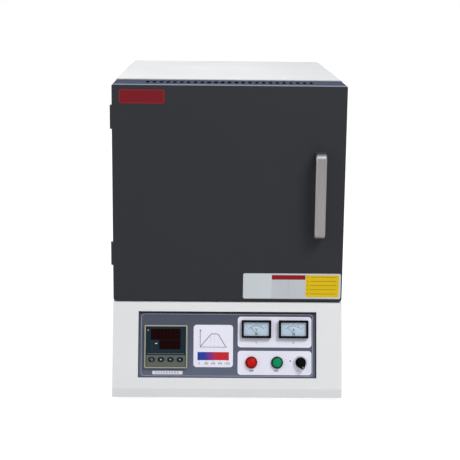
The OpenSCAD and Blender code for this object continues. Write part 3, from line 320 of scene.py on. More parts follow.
class Shape:
    """The faces of a piece while it is made, in millimetres, each with the number of its finish."""

    def __init__(self):
        self.points, self.faces, self.finishes = [], [], []

    def add(self, points, faces, finish=0):
        start = len(self.points)
        self.points += [tuple(p) for p in points]
        self.faces += [[start + i for i in face] for face in faces]
        self.finishes += [finish] * len(faces)
        return self

    def add_curve(self, curve, move, finish):
        """Adds the faces that a curve or text makes, and removes the curve."""
        holder = placed("holder", curve)
        mesh = seen_mesh(holder)
        faces = [list(face.vertices) for face in mesh.polygons]
        self.add([vertex.co + Vector(move) for vertex in mesh.vertices], faces, finish)
        bpy.data.objects.remove(holder)
        bpy.data.curves.remove(curve)
        bpy.data.meshes.remove(mesh)
        return self

    def flat(self, outlines, low, high, finish=0):
        """A flat plate between two heights, whose inner outlines are holes."""
        curve = bpy.data.curves.new("outline", "CURVE")
        curve.dimensions = "2D"
        curve.fill_mode = "BOTH"
        curve.extrude = (high - low) / 2
        for outline in outlines:
            spline = curve.splines.new("POLY")
            spline.points.add(len(outline) - 1)
            for point, (x, y) in zip(spline.points, outline):
                point.co = (x, y, 0, 1)
            spline.use_cyclic_u = True
        return self.add_curve(curve, (0, 0, (low + high) / 2), finish)

    def ink(self, outline, low, finish=0, depth=INK):
        """A printed field that lies on a surface at height low."""
        return self.flat([outline], low, low + depth, finish)

    def words(self, text, size, middle, low, finish=0, weight=0.0):
        """Plain letters or numbers lying on a surface at height low, thickened by their weight."""
        curve = bpy.data.curves.new("words", "FONT")
        curve.body = text
        curve.size = size
        curve.offset = weight
        curve.align_x, curve.align_y = "CENTER", "CENTER"
        curve.extrude = INK / 2
        return self.add_curve(curve, (*middle, low + INK / 2), finish)

    def skin(self, rings):
        """Faces from ring to ring of points, where a ring of one point closes an end."""
        points, numbers, faces = [], [], []
        for ring in rings:
            numbers.append(range(len(points), len(points) + len(ring)))
            points += ring
        steps = max(len(ring) for ring in rings)
        for low, high in zip(numbers, numbers[1:]):
            for i in range(steps):
                j = (i + 1) % steps
                quad = (low[i % len(low)], low[j % len(low)], high[j % len(high)], high[i % len(high)])
                faces.append(list(dict.fromkeys(quad)))
        return self.add(points, faces)

    def turned(self, profile, steps=64):
        """A shape turned round the z axis from (radius, height) pairs, closed where the radius is 0."""
        rings = []
        for radius, height in profile:
            ring = circle(radius, steps=steps) if radius else [(0, 0)]
            rings.append([(x, y, height) for x, y in ring])
        return self.skin(rings)

    def make(self, name, finishes, place, body, slot, smooth=None, bevel=0.0):
        """Makes the piece, sets it in its place and lets it ride on a body."""
        mesh = bpy.data.meshes.new(name)
        mesh.from_pydata(self.points, [], self.faces)
        for material in finishes:
            mesh.materials.append(finish(material))
        mesh.polygons.foreach_set("material_index", self.finishes)
        join_points(mesh)
        piece = placed(name, mesh)
        if bevel:
            soften(piece, bevel)
        piece.data.transform(place)
        if smooth:
            shade_smooth(piece.data, smooth)
        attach(piece, body)
        return piece


def placed(name, data):
    """A new object of the scene that carries a mesh, curve, lamp or camera."""
    made = bpy.data.objects.new(name, data)
    bpy.context.scene.collection.objects.link(made)
    return made


def seen_mesh(piece):
    """The mesh of a piece as its modifiers leave it."""
    bpy.context.view_layer.update()
    return bpy.data.meshes.new_from_object(piece.evaluated_get(bpy.context.evaluated_depsgraph_get()))


def keep_result(piece):
    """Makes a piece's modifiers part of its mesh."""
    mesh = seen_mesh(piece)
    piece.modifiers.clear()
    piece.data = mesh


def join_points(mesh):
    """Merges doubled points and turns every face outwards."""
    work = bmesh.new()
    work.from_mesh(mesh)
    bmesh.ops.remove_doubles(work, verts=work.verts, dist=JOIN_DISTANCE)
    bmesh.ops.recalc_face_normals(work, faces=work.faces)
    work.to_mesh(mesh)
    work.free()


def soften(piece, width):
    """Rounds a piece's sharp edges and keeps the result."""
    rounding = piece.modifiers.new("rounding", "BEVEL")
    rounding.width = width
    rounding.segments = 3
    rounding.limit_method = "ANGLE"
    rounding.angle_limit = math.radians(SHARP_ANGLE)
    keep_result(piece)


def shade_smooth(mesh, degrees):
    """Smooth shading that stays sharp where faces meet at more than an angle."""
    work = bmesh.new()
    work.from_mesh(mesh)
    limit = math.radians(degrees)
    for face in work.faces:
        face.smooth = True
    for edge in work.edges:
        edge.smooth = not edge.is_manifold or edge.calc_face_angle(0) < limit
    work.to_mesh(mesh)
    work.free()


# ---------- node trees ----------

class Wiring:
    """Adds nodes to a tree, with their settings, values and links."""

    def __init__(self, tree):
        self.tree, self.nodes, self.links = tree, tree.nodes, tree.links

    def node(self, kind, *values, **named):
        """Makes a node, and feeds its inputs in their order or by name; other names are settings."""
        made = self.nodes.new(kind)
        inputs = dict(enumerate(values))
        for key, value in named.items():
            label = key.replace("_", " ")
            if label in made.inputs:
                inputs[label] = value
            else:
                setattr(made, key, value)
        for label, value in inputs.items():
            self.feed(made.inputs[label], value)
        return made

    def feed(self, entry, value):
        """Links an input to a socket, or gives it a value."""
        if isinstance(value, bpy.types.NodeSocket):
            self.links.new(value, entry)
        else:
            entry.default_value = value

    def times(self, value, factor):
        return self.node("ShaderNodeMath", value, factor, operation="MULTIPLY").outputs[0]

    def larger(self, first, second):
        return self.node("ShaderNodeMath", first, second, operation="MAXIMUM").outputs[0]

    def spread(self, value, low, high, to_low, to_high):
        return self.node("ShaderNodeMapRange", Value=value, From_Min=low, From_Max=high,
                         To_Min=to_low, To_Max=to_high).outputs["Result"]


class Pattern(Wiring):
    """A tree of Geometry Nodes that sets one small shape many times on a piece of its own."""

    def __init__(self, name, tree_name, points, **inputs):
        mesh = bpy.data.meshes.new(name)
        mesh.from_pydata(points, [], [])
        self.piece = placed(name, mesh)
        super().__init__(bpy.data.node_groups.new(tree_name, "GeometryNodeTree"))
        sockets = self.tree.interface
        sockets.new_socket("Points", in_out="INPUT", socket_type="NodeSocketGeometry")
        sockets.new_socket("Result", in_out="OUTPUT", socket_type="NodeSocketGeometry")
        self.values = {}
        for key, value in inputs.items():
            kind = "NodeSocketInt" if isinstance(value, int) else "NodeSocketFloat"
            socket = sockets.new_socket(key, in_out="INPUT", socket_type=kind)
            socket.default_value = value
            self.values[socket.identifier] = value
        self.entry = self.nodes.new("NodeGroupInput").outputs

    def build(self, points, shape, turn, material):
        """Sets the shape on the points, paints the copies and keeps them as the piece's mesh."""
        copies = self.node("GeometryNodeInstanceOnPoints", Points=points, Instance=shape, Rotation=turn)
        real = self.node("GeometryNodeRealizeInstances", copies.outputs["Instances"])
        coat = self.node("GeometryNodeSetMaterial", Geometry=real.outputs["Geometry"], Material=material)
        self.node("NodeGroupOutput", coat.outputs["Geometry"])
        modifier = self.piece.modifiers.new("pattern", "NODES")
        modifier.node_group = self.tree
        for identifier, value in self.values.items():
            modifier[identifier] = value
        keep_result(self.piece)
        return self.piece


# ---------- finishes ----------

class Finish(Wiring):
    """A node material on a piece's own coordinates, built step by step."""

    def __init__(self, name, colour, roughness, metallic=0.0, **inputs):
        self.material = bpy.data.materials.new(name)
        self.material.use_nodes = True
        super().__init__(self.material.node_tree)
        self.shader = self.nodes["Principled BSDF"]
        self.coordinates = self.node("ShaderNodeTexCoord").outputs["Object"]
        self.colour = (*tuple(colour)[:3], 1)
        self.normal = None
        self.give(Base_Color=self.colour, Roughness=roughness, Metallic=metallic, **inputs)

    def give(self, **inputs):
        """Gives inputs of the surface a value or a pattern."""
        for key, value in inputs.items():
            self.feed(self.shader.inputs[key.replace("_", " ")], value)

    def mapped(self, stretch=(1, 1, 1)):
        return self.node("ShaderNodeMapping", Vector=self.coordinates, Scale=stretch).outputs["Vector"]

    def along(self, axis):
        """A point's place along the piece's own X, Y or Z axis."""
        return self.node("ShaderNodeSeparateXYZ", self.mapped()).outputs[axis]

    def noise(self, scale, detail=3.0, stretch=(1, 1, 1), roughness=0.5):
        return self.node("ShaderNodeTexNoise", Vector=self.mapped(stretch), Scale=scale, Detail=detail,
                         Roughness=roughness).outputs["Fac"]

    def cells(self, scale, output="Distance"):
        return self.node("ShaderNodeTexVoronoi", Vector=self.mapped(), Scale=scale).outputs[output]

    def tint(self, value, other, low, high, amount=1.0):
        """Mixes another colour in where a pattern is high."""
        mix = self.node("ShaderNodeMix", self.spread(value, low, high, 0, amount), data_type="RGBA")
        self.feed(mix.inputs[6], self.colour)
        self.feed(mix.inputs[7], (*tuple(other)[:3], 1))
        self.colour = mix.outputs[2]
        self.give(Base_Color=self.colour)

    def shine(self, value, low, high):
        """Lets the roughness follow a pattern."""
        self.give(Roughness=self.spread(value, 0.3, 0.7, low, high))

    def relief(self, value, depth, strength):
        """Raises the surface by depth metres where a pattern is high."""
        bump = self.node("ShaderNodeBump", Height=value, Distance=depth, Strength=strength)
        if self.normal:
            self.feed(bump.inputs["Normal"], self.normal)
        self.normal = bump.outputs["Normal"]
        self.give(Normal=self.normal)


def shade(colour, factor):
    return tuple(min(1.0, c * factor) for c in tuple(colour)[:3])


def powder_coat(name, colour, roughness, gloss=0.5):
    """Baked powder paint: the fine orange peel, and a light dusting that dulls it."""
    made = Finish(name, colour, roughness, Specular_IOR_Level=gloss)
    made.tint(made.noise(3.5, 4), shade(colour, 0.965), 0.4, 0.7)
    made.shine(made.noise(9, 5), roughness - 0.06, roughness + 0.07)
    made.relief(made.noise(900, 2), 0.00006, 0.5)
    return made


def door_coat(name, colour, fold_highlight, top_sheen):
    """The door's powder coat, with a painted highlight on its upper folds and a painted slate-blue sheen on
    its top, which is matt.
    """
    made = Finish(name, colour, 0.66, Specular_IOR_Level=0.2)
    made.tint(made.noise(3.5, 4), shade(colour, 0.965), 0.4, 0.7)
    height = made.along("Z")
    fold, top = [[DOOR_HIGH.z - depth * MM for depth in depths] for depths in (FOLD_HIGHLIGHT, TOP_SHEEN)]
    # Painted highlight: a paler band along the door's upper folds
    made.tint(height, fold_highlight, *fold)
    # Painted sheen: the door's top is painted paler and slate blue, and made matt
    made.tint(height, top_sheen, *top)
    made.give(Roughness=made.spread(height, *top, 0.66, 1.0))
    made.relief(made.noise(900, 2), 0.00006, 0.5)
    return made


def zinc_sheet(name, colour):
    """Hot-dipped sheet steel with its spangle."""
    made = Finish(name, colour, 0.42, 0.9)
    made.tint(made.cells(55, "Color"), shade(colour, 0.72), 0.2, 0.8)
    made.shine(made.noise(40, 4), 0.34, 0.52)
    made.relief(made.noise(260, 3), 0.00004, 0.4)
    return made


def brushed_metal(name, colour, stretch, roughness=0.34):
    """Metal brushed in one direction."""
    made = Finish(name, colour, roughness, 0.92)
    grain = made.noise(60, 6, stretch, 0.7)
    made.tint(grain, shade(colour, 0.86), 0.3, 0.7)
    made.shine(grain, roughness - 0.08, roughness + 0.12)
    made.relief(grain, 0.00003, 0.35)
    return made


def bare_metal(name, colour, roughness, metallic=1.0):
    made = Finish(name, colour, roughness, metallic)
    made.tint(made.noise(120, 4), shade(colour, 0.8), 0.4, 0.75)
    made.shine(made.noise(300, 4), roughness - 0.07, roughness + 0.1)
    return made


def moulded_plastic(name, colour, roughness, gloss=0.5, grain=1600, depth=0.00002):
    """Moulded plastic with the faint grain of its mould."""
    made = Finish(name, colour, roughness, Specular_IOR_Level=gloss)
    made.tint(made.noise(60, 3), shade(colour, 0.85), 0.4, 0.75)
    made.shine(made.noise(140, 3), roughness - 0.05, roughness + 0.08)
    made.relief(made.noise(grain, 2), depth, 0.4)
    return made


def panel_print_painted_shade(name, colour):
    """The panel's printed film, with painted shade that runs from dark at the top to pale at the foot."""
    made = Finish(name, shade(colour, 1.45), 0.42, Specular_IOR_Level=0.35)
    # Painted shade: the film darkens towards the top of the panel
    made.tint(made.along("Z"), shade(colour, 0.7), PANEL_LOW.z, PANEL_HIGH.z)
    made.shine(made.noise(30, 4), 0.37, 0.48)
    made.relief(made.noise(2200, 2), 0.00002, 0.3)
    return made


def fibre_board(name, colour, warm):
    """Pressed ceramic fibre: short fibres, small pits and a slight tan from heat."""
    made = Finish(name, colour, 0.95)
    made.tint(made.noise(6, 5), warm, 0.45, 0.8, 0.55)
    made.tint(made.cells(340), shade(colour, 0.8), 0.02, 0.5, 0.25)
    made.relief(made.noise(420, 6, (1, 1, 0.35), 0.75), 0.0007, 0.5)
    made.relief(made.cells(210), 0.0004, 0.25)
    return made


def printed_film(name, colour, roughness=0.42, gloss=0.35):
    """A printed film with its fine matt texture."""
    made = Finish(name, colour, roughness, Specular_IOR_Level=gloss)
    made.tint(made.noise(14, 3), shade(colour, 0.96), 0.4, 0.7)
    made.shine(made.noise(30, 4), roughness - 0.05, roughness + 0.06)
    made.relief(made.noise(2200, 2), 0.00002, 0.3)
    return made


def oxide_wire(name, colour):
    """Resistance wire with the dark, blotchy oxide it gets in use."""
    made = Finish(name, colour, 0.62, 0.55)
    made.tint(made.noise(160, 5), (0.20, 0.13, 0.10), 0.45, 0.75, 0.8)
    made.tint(made.noise(420, 3), shade(colour, 0.5), 0.5, 0.7)
    made.relief(made.noise(900, 4), 0.0001, 0.5)
    return made


def hearth_stone(name, colour):
    """Silicon carbide: dark grains with small bright ones between them."""
    made = Finish(name, colour, 0.7)
    made.tint(made.cells(620, "Color"), shade(colour, 0.45), 0.35, 0.7)
    made.tint(made.cells(900, "Color"), shade(colour, 1.9), 0.86, 0.93, 0.8)
    made.relief(made.noise(700, 5), 0.0003, 0.5)
    return made


def rubber(name, colour):
    made = Finish(name, colour, 0.78)
    made.tint(made.noise(90, 4), shade(colour, 1.8), 0.5, 0.8)
    made.relief(made.noise(1400, 3), 0.00006, 0.5)
    return made


def lens_plastic(name, colour, glow, at):
    """A translucent coloured lens, darkened towards its rim by painted shade, with a faint moulded pattern.
    """
    made = Finish(name, colour, 0.34, Specular_IOR_Level=0.12)
    middle = on_panel(at, LENS_TOP).to_translation()
    away = made.node("ShaderNodeVectorMath", made.mapped(), middle, operation="DISTANCE")
    # Painted shade: the lens darkens towards its rim
    made.tint(away.outputs["Value"], shade(colour, 0.45), *[radius * MM for radius in LENS_RIM_SHADE])
    made.tint(made.noise(260, 2), glow, 0.5, 0.8, 0.4)
    made.relief(made.cells(420), 0.00012, 0.25)
    return made


def temperature_bar(name):
    """Ink that runs from cold blue to hot red across the graph plate."""
    made = Finish(name, (0.5, 0.02, 0.03), 0.45, Specular_IOR_Level=0.3)
    left, right = [(GRAPH[0] + side * BAR_REACH) * MM for side in (-1, 1)]
    ramp = made.node("ShaderNodeValToRGB", made.spread(made.along("X"), left, right, 0, 1))
    stops = ramp.color_ramp.elements
    stops[0].color, stops[1].color = (0.012, 0.035, 0.30, 1), (0.52, 0.010, 0.022, 1)
    stops[0].position, stops[1].position = 0.22, 0.62
    stops.new(0.42).color = (0.20, 0.020, 0.20, 1)
    made.give(Base_Color=ramp.outputs["Color"])
    made.shine(made.noise(400, 3), 0.4, 0.5)
    return made


def clear_window(name):
    made = Finish(name, (0.86, 0.92, 0.95), 0.06, Alpha=0.12, Coat_Weight=0.3)
    made.relief(made.noise(25, 2), 0.0002, 0.05)
    return made


# ---------- what a user would change ----------

def paint_colour(name, description, value):
    return FloatVectorProperty(name=name, description=description, default=value,
                               subtype="COLOR", min=0.0, max=1.0)


def length(name, description, value, low, high):
    return FloatProperty(name=name, description=description, default=value, min=low, max=high, unit="LENGTH")


def angle(name, description, degrees):
    return FloatProperty(name=name, description=description, default=math.radians(degrees), subtype="ANGLE")


def power(name, description, watts):
    return FloatProperty(name=name, description=description, default=watts, min=0, unit="POWER")


class FurnaceColours(bpy.types.PropertyGroup):
    """Colours of the painted, printed and moulded surfaces."""
    cabinet: paint_colour("Cabinet", "Powder coat of the body and the base", (0.76, 0.77, 0.785))
    door: paint_colour("Door", "Powder coat of the door", (0.024, 0.025, 0.030))
    # The door's fold colour is a painted highlight along its upper folds
    door_fold_highlight: paint_colour("Door's folds", "Paint rubbed pale on the door's upper folds", (0.28, 0.31, 0.38))
    # The door's top colour is a painted slate-blue sheen
    door_top_sheen: paint_colour("Door's top", "Dusty paint on the door's top", (0.055, 0.068, 0.115))
    inner_frame: paint_colour("Inner frame", "Paint round the mouth", (0.50, 0.51, 0.52))
    panel: paint_colour("Panel", "Printed film of the control panel", (0.070, 0.082, 0.125))
    plates: paint_colour("Label plates", "Pale plates on the control panel", (0.81, 0.81, 0.93))
    dial: paint_colour("Dials", "Face of the meters", (0.48, 0.64, 0.82))
    rim: paint_colour("Controller rim", "Frame of the controller", (0.36, 0.355, 0.28))
    face: paint_colour("Controller face", "Front film of the controller", (0.002, 0.014, 0.026))
    red: paint_colour("Red", "Red button", (0.50, 0.003, 0.002))
    green: paint_colour("Green", "Green button", (0.001, 0.24, 0.095))
    badge: paint_colour("Badge", "Bare rounded plate at the door's upper corner", (0.17, 0.004, 0.010))
    card_red: paint_colour("Card red", "Red band of the card on the door", (0.26, 0.004, 0.006))
    card_yellow: paint_colour("Card yellow", "Yellow field of the card on the door", (0.74, 0.51, 0.003))


class FurnaceDetails(bpy.types.PropertyGroup):
    """Sizes of the small details."""
    handle_edge: length("Handle edge", "Width of the chamfer along the handle's bar", 0.0022, 0.0005, 0.003)
    leaf_screw: length("Hinge screw", "Radius of a hinge leaf's screw head", 0.0031, 0.002, 0.004)
    line_width: length("Printed line", "Width of the line printed round the panel", 0.0008, 0.0004, 0.002)
    scale_marks: IntProperty(name="Scale marks", description="Number of fine marks on a meter's scale",
                             default=41, min=11, max=61)
    knob_reach: length("Knob reach", "Reach of the selector's pointer from its middle", 0.0164, 0.014, 0.018)


class FurnaceStage(bpy.types.PropertyGroup):
    """Camera and light."""
    lens: FloatProperty(name="Lens", description="Focal length on a 36 mm wide sensor, in millimetres",
                        default=92.03, min=20, max=200)
    pitch: angle("Pitch", "Angle that the camera looks down", 11.878)
    yaw: angle("Yaw", "Angle that the camera turns to the right", 0.917)
    roll: angle("Roll", "Angle that the camera is tilted", 0.611)
    key: power("Key light", "Power of the main soft light", 104.0)
    fill: power("Fill light", "Power of the soft light from the other side", 16.0)


def details():
    return bpy.context.scene.furnace_details


def chosen(name, factor=1.0):
    """The user's colour of that name, made darker by a factor, read when a finish is made."""
    return lambda: shade(getattr(bpy.context.scene.furnace_colours, name), factor)


FINISHES = {}


def finish(name):
    """The finish of that name, made when it is first asked for."""
    if name not in FINISHES:
        maker, *values = RECIPES[name]
        values = [value() if callable(value) else value for value in values]
        FINISHES[name] = maker(name, *values).material
    return FINISHES[name]


# How each finish is made: its maker, its colour and what else the maker takes
RECIPES = {
    "cabinet_paint": (powder_coat, chosen("cabinet"), 0.42),
    "door_paint": (door_coat, chosen("door"), chosen("door_fold_highlight"), chosen("door_top_sheen")),
    # The door's dark paint, made darker still on the tray as painted shade seen through the door's slots
    "tray_paint": (powder_coat, chosen("door", 0.6), 0.75, 0.1),
    "frame_paint": (powder_coat, chosen("inner_frame"), 0.45),
    "hinge_paint": (powder_coat, chosen("door", 0.7), 0.45, 0.25),
    "zinc": (zinc_sheet, (0.60, 0.61, 0.62)),
    "foot_rubber": (rubber, (0.020, 0.020, 0.021)),
    "magnet_rubber": (rubber, (0.035, 0.033, 0.032)),
    "blanket": (fibre_board, (0.80, 0.79, 0.76), (0.72, 0.66, 0.55)),
    "lining": (fibre_board, (0.86, 0.84, 0.79), (0.76, 0.64, 0.47)),
    "seal_rope": (fibre_board, (0.70, 0.69, 0.66), (0.60, 0.53, 0.42)),
    "hearth": (hearth_stone, (0.16, 0.16, 0.165)),
    "oxide_wire": (oxide_wire, (0.12, 0.115, 0.12)),
    "alumina": (moulded_plastic, (0.84, 0.81, 0.74), 0.55, 0.5, 900, 0.00004),
    "brass": (bare_metal, (0.72, 0.52, 0.22), 0.32),
    "steel": (bare_metal, (0.56, 0.56, 0.57), 0.3),
    "probe_metal": (brushed_metal, (0.55, 0.56, 0.57), (1, 12, 1)),
    "handle_metal": (brushed_metal, (0.27, 0.262, 0.262), (8, 8, 0.25), 0.33),
    "sink_metal": (brushed_metal, (0.62, 0.63, 0.64), (10, 0.5, 10)),
    "chrome": (bare_metal, (0.62, 0.62, 0.64), 0.16),
    "satin_ring": (bare_metal, (0.50, 0.50, 0.55), 0.45, 0.7),
    "panel_film": (panel_print_painted_shade, chosen("panel")),
    "plate_film": (printed_film, chosen("plates"), 0.38),
    "line_ink": (printed_film, (0.42, 0.45, 0.52)),
    "dark_ink": (printed_film, (0.020, 0.020, 0.028), 0.5, 0.2),
    "grey_ink": (printed_film, (0.27, 0.27, 0.31)),
    "symbol_ink": (printed_film, (0.72, 0.76, 0.76), 0.45, 0.25),
    "white_ink": (printed_film, (0.80, 0.82, 0.82)),
    "cool_to_hot": (temperature_bar,),
    "dial_film": (printed_film, chosen("dial"), 0.5),
    "black_plastic": (moulded_plastic, (0.004, 0.004, 0.008), 0.5, 0.06),
    "rim_plastic": (moulded_plastic, chosen("rim"), 0.42),
    "key_plastic": (moulded_plastic, (0.003, 0.008, 0.012), 0.4, 0.2),
    "controller_film": (printed_film, chosen("face"), 0.35, 0.18),
    "key_strip": (printed_film, (0.10, 0.112, 0.098), 0.45, 0.25),
    "display_window": (printed_film, (0.006, 0.0006, 0.0008), 0.35, 0.03),
    "dim_segment": (printed_film, (0.022, 0.0012, 0.0014), 0.4, 0.04),
    "meter_window": (clear_window,),
    "red_bezel": (moulded_plastic, chosen("red", 0.6), 0.35, 0.3),
    "green_bezel": (moulded_plastic, (0.004, 0.022, 0.014), 0.35, 0.3),
    "red_lens": (lens_plastic, chosen("red"), (0.85, 0.12, 0.08), RED_BUTTON),
    "green_lens": (lens_plastic, chosen("green"), (0.06, 0.42, 0.20), GREEN_BUTTON),
    "knob_plastic": (moulded_plastic, (0.002, 0.002, 0.003), 0.42, 0.04, 2400, 0.00001),
    "terminal_plastic": (moulded_plastic, (0.62, 0.58, 0.47), 0.5),
    "badge_film": (printed_film, chosen("badge"), 0.4, 0.2),
    "badge_edge": (printed_film, (0.30, 0.06, 0.07)),
    "card_edge": (printed_film, (0.58, 0.60, 0.64)),
    "card_silver": (printed_film, (0.60, 0.65, 0.68), 0.35, 0.5),
    "card_white": (printed_film, (0.54, 0.57, 0.62)),
    "olive_ink": (printed_film, (0.13, 0.095, 0.004)),
    "card_red": (printed_film, chosen("card_red"), 0.45, 0.2),
    "card_yellow": (printed_film, chosen("card_yellow"), 0.45, 0.2),
}

# The CAD nodes that wear each finish
CABINET_FINISHES = {
    "cabinet_paint": "base_shell base_rear deck_plate side_panels top_cover rear_panel",
    "zinc": "base_floor support_rails inner_casing",
    "foot_rubber": "rubber_feet",
    "frame_paint": "front_frame",
    "magnet_rubber": "magnet_catch",
    "hinge_paint": "hinge_fixed_leaves",
    "steel": "hinge_pins cover_screws",
}
CHAMBER_FINISHES = {
    "blanket": "backup_insulation",
    "lining": "mouth_collar chamber_boards chamber_side_boards",
    "hearth": "hearth_plate",
    "oxide_wire": "heating_elements",
    "alumina": "element_bushings",
    "brass": "element_terminals",
    "probe_metal": "thermocouple",
}
DOOR_FINISHES = {
    "door_paint": "door_shell",
    "tray_paint": "door_inner_tray",
    "blanket": "door_insulation",
    "lining": "door_plug",
    "seal_rope": "door_seal",
    "hinge_paint": "hinge_door_leaves",
    "steel": "catch_strike",
}
PANEL_FINISHES = {
    "panel_film": "control_panel",
    "plate_film": "panel_labels",
    "black_plastic": "controller_case meter_cases switch_blocks voltmeter_needle ammeter_needle",
    "rim_plastic": "controller_bezel",
    "controller_film": "controller_face",
    "dial_film": "meter_dials",
    "satin_ring": "selector_bezel",
    "red_lens": "red_button",
    "green_lens": "green_button",
    "key_plastic": "key_1 key_2 key_3 key_4",
}
REAR_FINISHES = {
    "sink_metal": "power_regulator",
    "black_plastic": "contactor fan_frame cable_gland fan_rotor",
    "terminal_plastic": "terminal_block",
    "chrome": "fan_guard",
}


def give_finishes(table):
    """Gives CAD nodes their finish in their own material slots."""
    for name, nodes in table.items():
        for node in nodes.split():
            materials = frame["nodes"][node].data.materials
            materials.clear()
            materials.append(finish(name))


# ---------- operators ----------

class Making:
    """What all the furnace's operators share."""
    bl_options = {"REGISTER"}

    @classmethod
    def poll(cls, context):
        return bool(frame["nodes"])


class FURNACE_OT_cabinet(Making, bpy.types.Operator):
    """Paint the cabinet, the base and their panels"""
    bl_idname = "furnace.cabinet"
    bl_label = "Cabinet and base"

    def execute(self, context):
        give_finishes(CABINET_FINISHES)
        return {"FINISHED"}


class FURNACE_OT_chamber(Making, bpy.types.Operator):
    """Finish the lining, the heating wire and the hearth"""
    bl_idname = "furnace.chamber"
    bl_label = "Chamber"

    def execute(self, context):
        give_finishes(CHAMBER_FINISHES)
        return {"FINISHED"}


class FURNACE_OT_door(Making, bpy.types.Operator):
    """Paint the door and finish its plug and seal"""
    bl_idname = "furnace.door"
    bl_label = "Door"

    def execute(self, context):
        give_finishes(DOOR_FINISHES)
        return {"FINISHED"}


class FURNACE_OT_rear(Making, bpy.types.Operator):
    """Finish the fan, the gland and the electrical pieces in the base"""
    bl_idname = "furnace.rear"
    bl_label = "Rear and electrical pieces"

    def execute(self, context):
        give_finishes(REAR_FINISHES)
        return {"FINISHED"}


class FURNACE_OT_handle(Making, bpy.types.Operator):
    """Make the bow handle of brushed bar with chamfered edges"""
    bl_idname = "furnace.handle"
    bl_label = "Handle"

    def execute(self, context):
        low, high = HANDLE_LOW / MM, HANDLE_HIGH / MM
        middle, side, front = (low.x + high.x) / 2, (high.x - low.x) / 2, HANDLE_BAR / 2
        edge, back = details().handle_edge / MM, HANDLE_BACK_EDGE
        # Middle line of the bar in the (y, z) plane, with the direction that is outwards from it
        path, bend = [(high.y, low.z + front, 0.0, -1.0)], HANDLE_BEND - front
        for level, start in ((low.z + HANDLE_BEND, -90), (high.z - HANDLE_BEND, 180)):
            path += [(low.y + HANDLE_BEND + bend * y, level + bend * z, y, z)
                     for y, z in arc(1.0, start, start - 90, steps=12)]
        path.append((high.y, high.z - front, 0.0, 1.0))
        section = [(-side + edge, front), (side - edge, front), (side, front - edge * CHAMFER_SLOPE),
                   (side, -front + back), (side - back, -front), (-side + back, -front),
                   (-side, -front + back), (-side, front - edge * CHAMFER_SLOPE)]
        rings = [[(middle + across, y + out_y * t, z + out_z * t) for across, t in section]
                 for y, z, out_y, out_z in path]
        bow = Shape().skin(rings)
        for end in (rings[0], rings[-1]):
            bow.add(end, [range(len(end))])
        piece = bow.make("handle_bow", ["handle_metal"], Matrix.Scale(MM, 4), "door", "handle_aluminium",
                         smooth=25)
        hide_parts("door_handle")
        return {"FINISHED"}


class FURNACE_OT_door_plates(Making, bpy.types.Operator):
    """Make the bare badge plate and the bare card on the door"""
    bl_idname = "furnace.door_plates"
    bl_label = "Door plates"

    def execute(self, context):
        place = on_door(LABELS_LOW.x / MM + BADGE_W / 2, LABELS_HIGH.z / MM - BADGE_H / 2)
        badge = Shape().flat([rounded(BADGE_W, BADGE_H, BADGE_CORNER)], 0, BADGE_T)
        badge.make("badge_plate", ["badge_film"], place, "door", "door_label", bevel=0.25)
        edges = [rounded(BADGE_W - less, BADGE_H - less, corner) for less, corner in BADGE_LINE]
        Shape().flat(edges, BADGE_T, BADGE_T + INK).make(
            "badge_line", ["badge_edge"], place, "door", "door_label")
        card = Shape().flat([rounded(CARD_W, CARD_H, CARD_CORNER)], 0, CARD_T)
        for number, field in enumerate(CARD_FIELDS.values()):
            card.flat([rectangle(*field)], CARD_T, FIELD_TOP, number + 1)
        card.ink(band(FIELD_RULE, FIELD_RULE_W), FIELD_TOP, 5)
        for i in range(RULES):
            row = RULE_TOP - RULE_PITCH * i
            card.ink(band([(RULE_LEFT, row), (RULE_RIGHT, row)], RULE_W), FIELD_TOP, 6)
            card.ink(circle(DOT_RADIUS, (DOT_X, row), 16), FIELD_TOP, 6)
        place = on_door(LABELS_HIGH.x / MM - CARD_W / 2, LABELS_LOW.z / MM + CARD_H / 2)
        piece = card.make("card_plate", ["card_edge", *CARD_FIELDS, "grey_ink", "olive_ink"], place,
                          "door", "door_label")
        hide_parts("door_labels")
        return {"FINISHED"}


class FURNACE_OT_hinge_screws(Making, bpy.types.Operator):
    """Set the cross-recessed screws in the hinge leaves"""
    bl_idname = "furnace.hinge_screws"
    bl_label = "Hinge screws"

    def execute(self, context):
        for node, body in (("hinge_fixed_leaves", "cabinet"), ("hinge_door_leaves", "door")):
            low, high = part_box(node)
            y = high.y - LEAF_W / 2 * MM if body == "cabinet" else low.y + LEAF_W / 2 * MM
            levels = (low.z + LEAF_H / 2 * MM, high.z - LEAF_H / 2 * MM)
            points = [(high.x - LEAF_T * MM, y, z + i * SCREW_PITCH * MM) for z in levels for i in (-1, 0, 1)]
            piece = screws("screws_" + body, points, details().leaf_screw)
            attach(piece, body)
        return {"FINISHED"}


def screws(name, points, radius):
    """Screw heads with a cross recess, standing on points and facing the viewer's left."""
    pattern = Pattern(name, "screw_heads", points, Radius=radius, Height=SCREW_RISE * MM,
                      Recess=radius * RECESS_SHARE)
    radius, height, recess = [pattern.entry[label] for label in ("Radius", "Height", "Recess")]
    head = pattern.node("GeometryNodeMeshCone", Vertices=24, Radius_Bottom=radius,
                        Radius_Top=pattern.times(radius, TOP_SHARE), Depth=height).outputs["Mesh"]
    reach = pattern.times(recess, RECESS_LENGTHS)
    for width, depth in ((reach, recess), (recess, reach)):
        size = pattern.node("ShaderNodeCombineXYZ", width, depth, height)
        bar = pattern.node("GeometryNodeMeshCube", Size=size.outputs[0])
        rise = pattern.node("ShaderNodeCombineXYZ", Z=height)
        bar = pattern.node("GeometryNodeTransform", Geometry=bar.outputs[0], Translation=rise.outputs[0])
        head = pattern.node("GeometryNodeMeshBoolean", Mesh_1=head, Mesh_2=bar.outputs[0],
                            operation="DIFFERENCE", solver="EXACT").outputs["Mesh"]
    return pattern.build(pattern.entry["Points"], head, (0, -math.pi / 2, 0), finish("steel"))


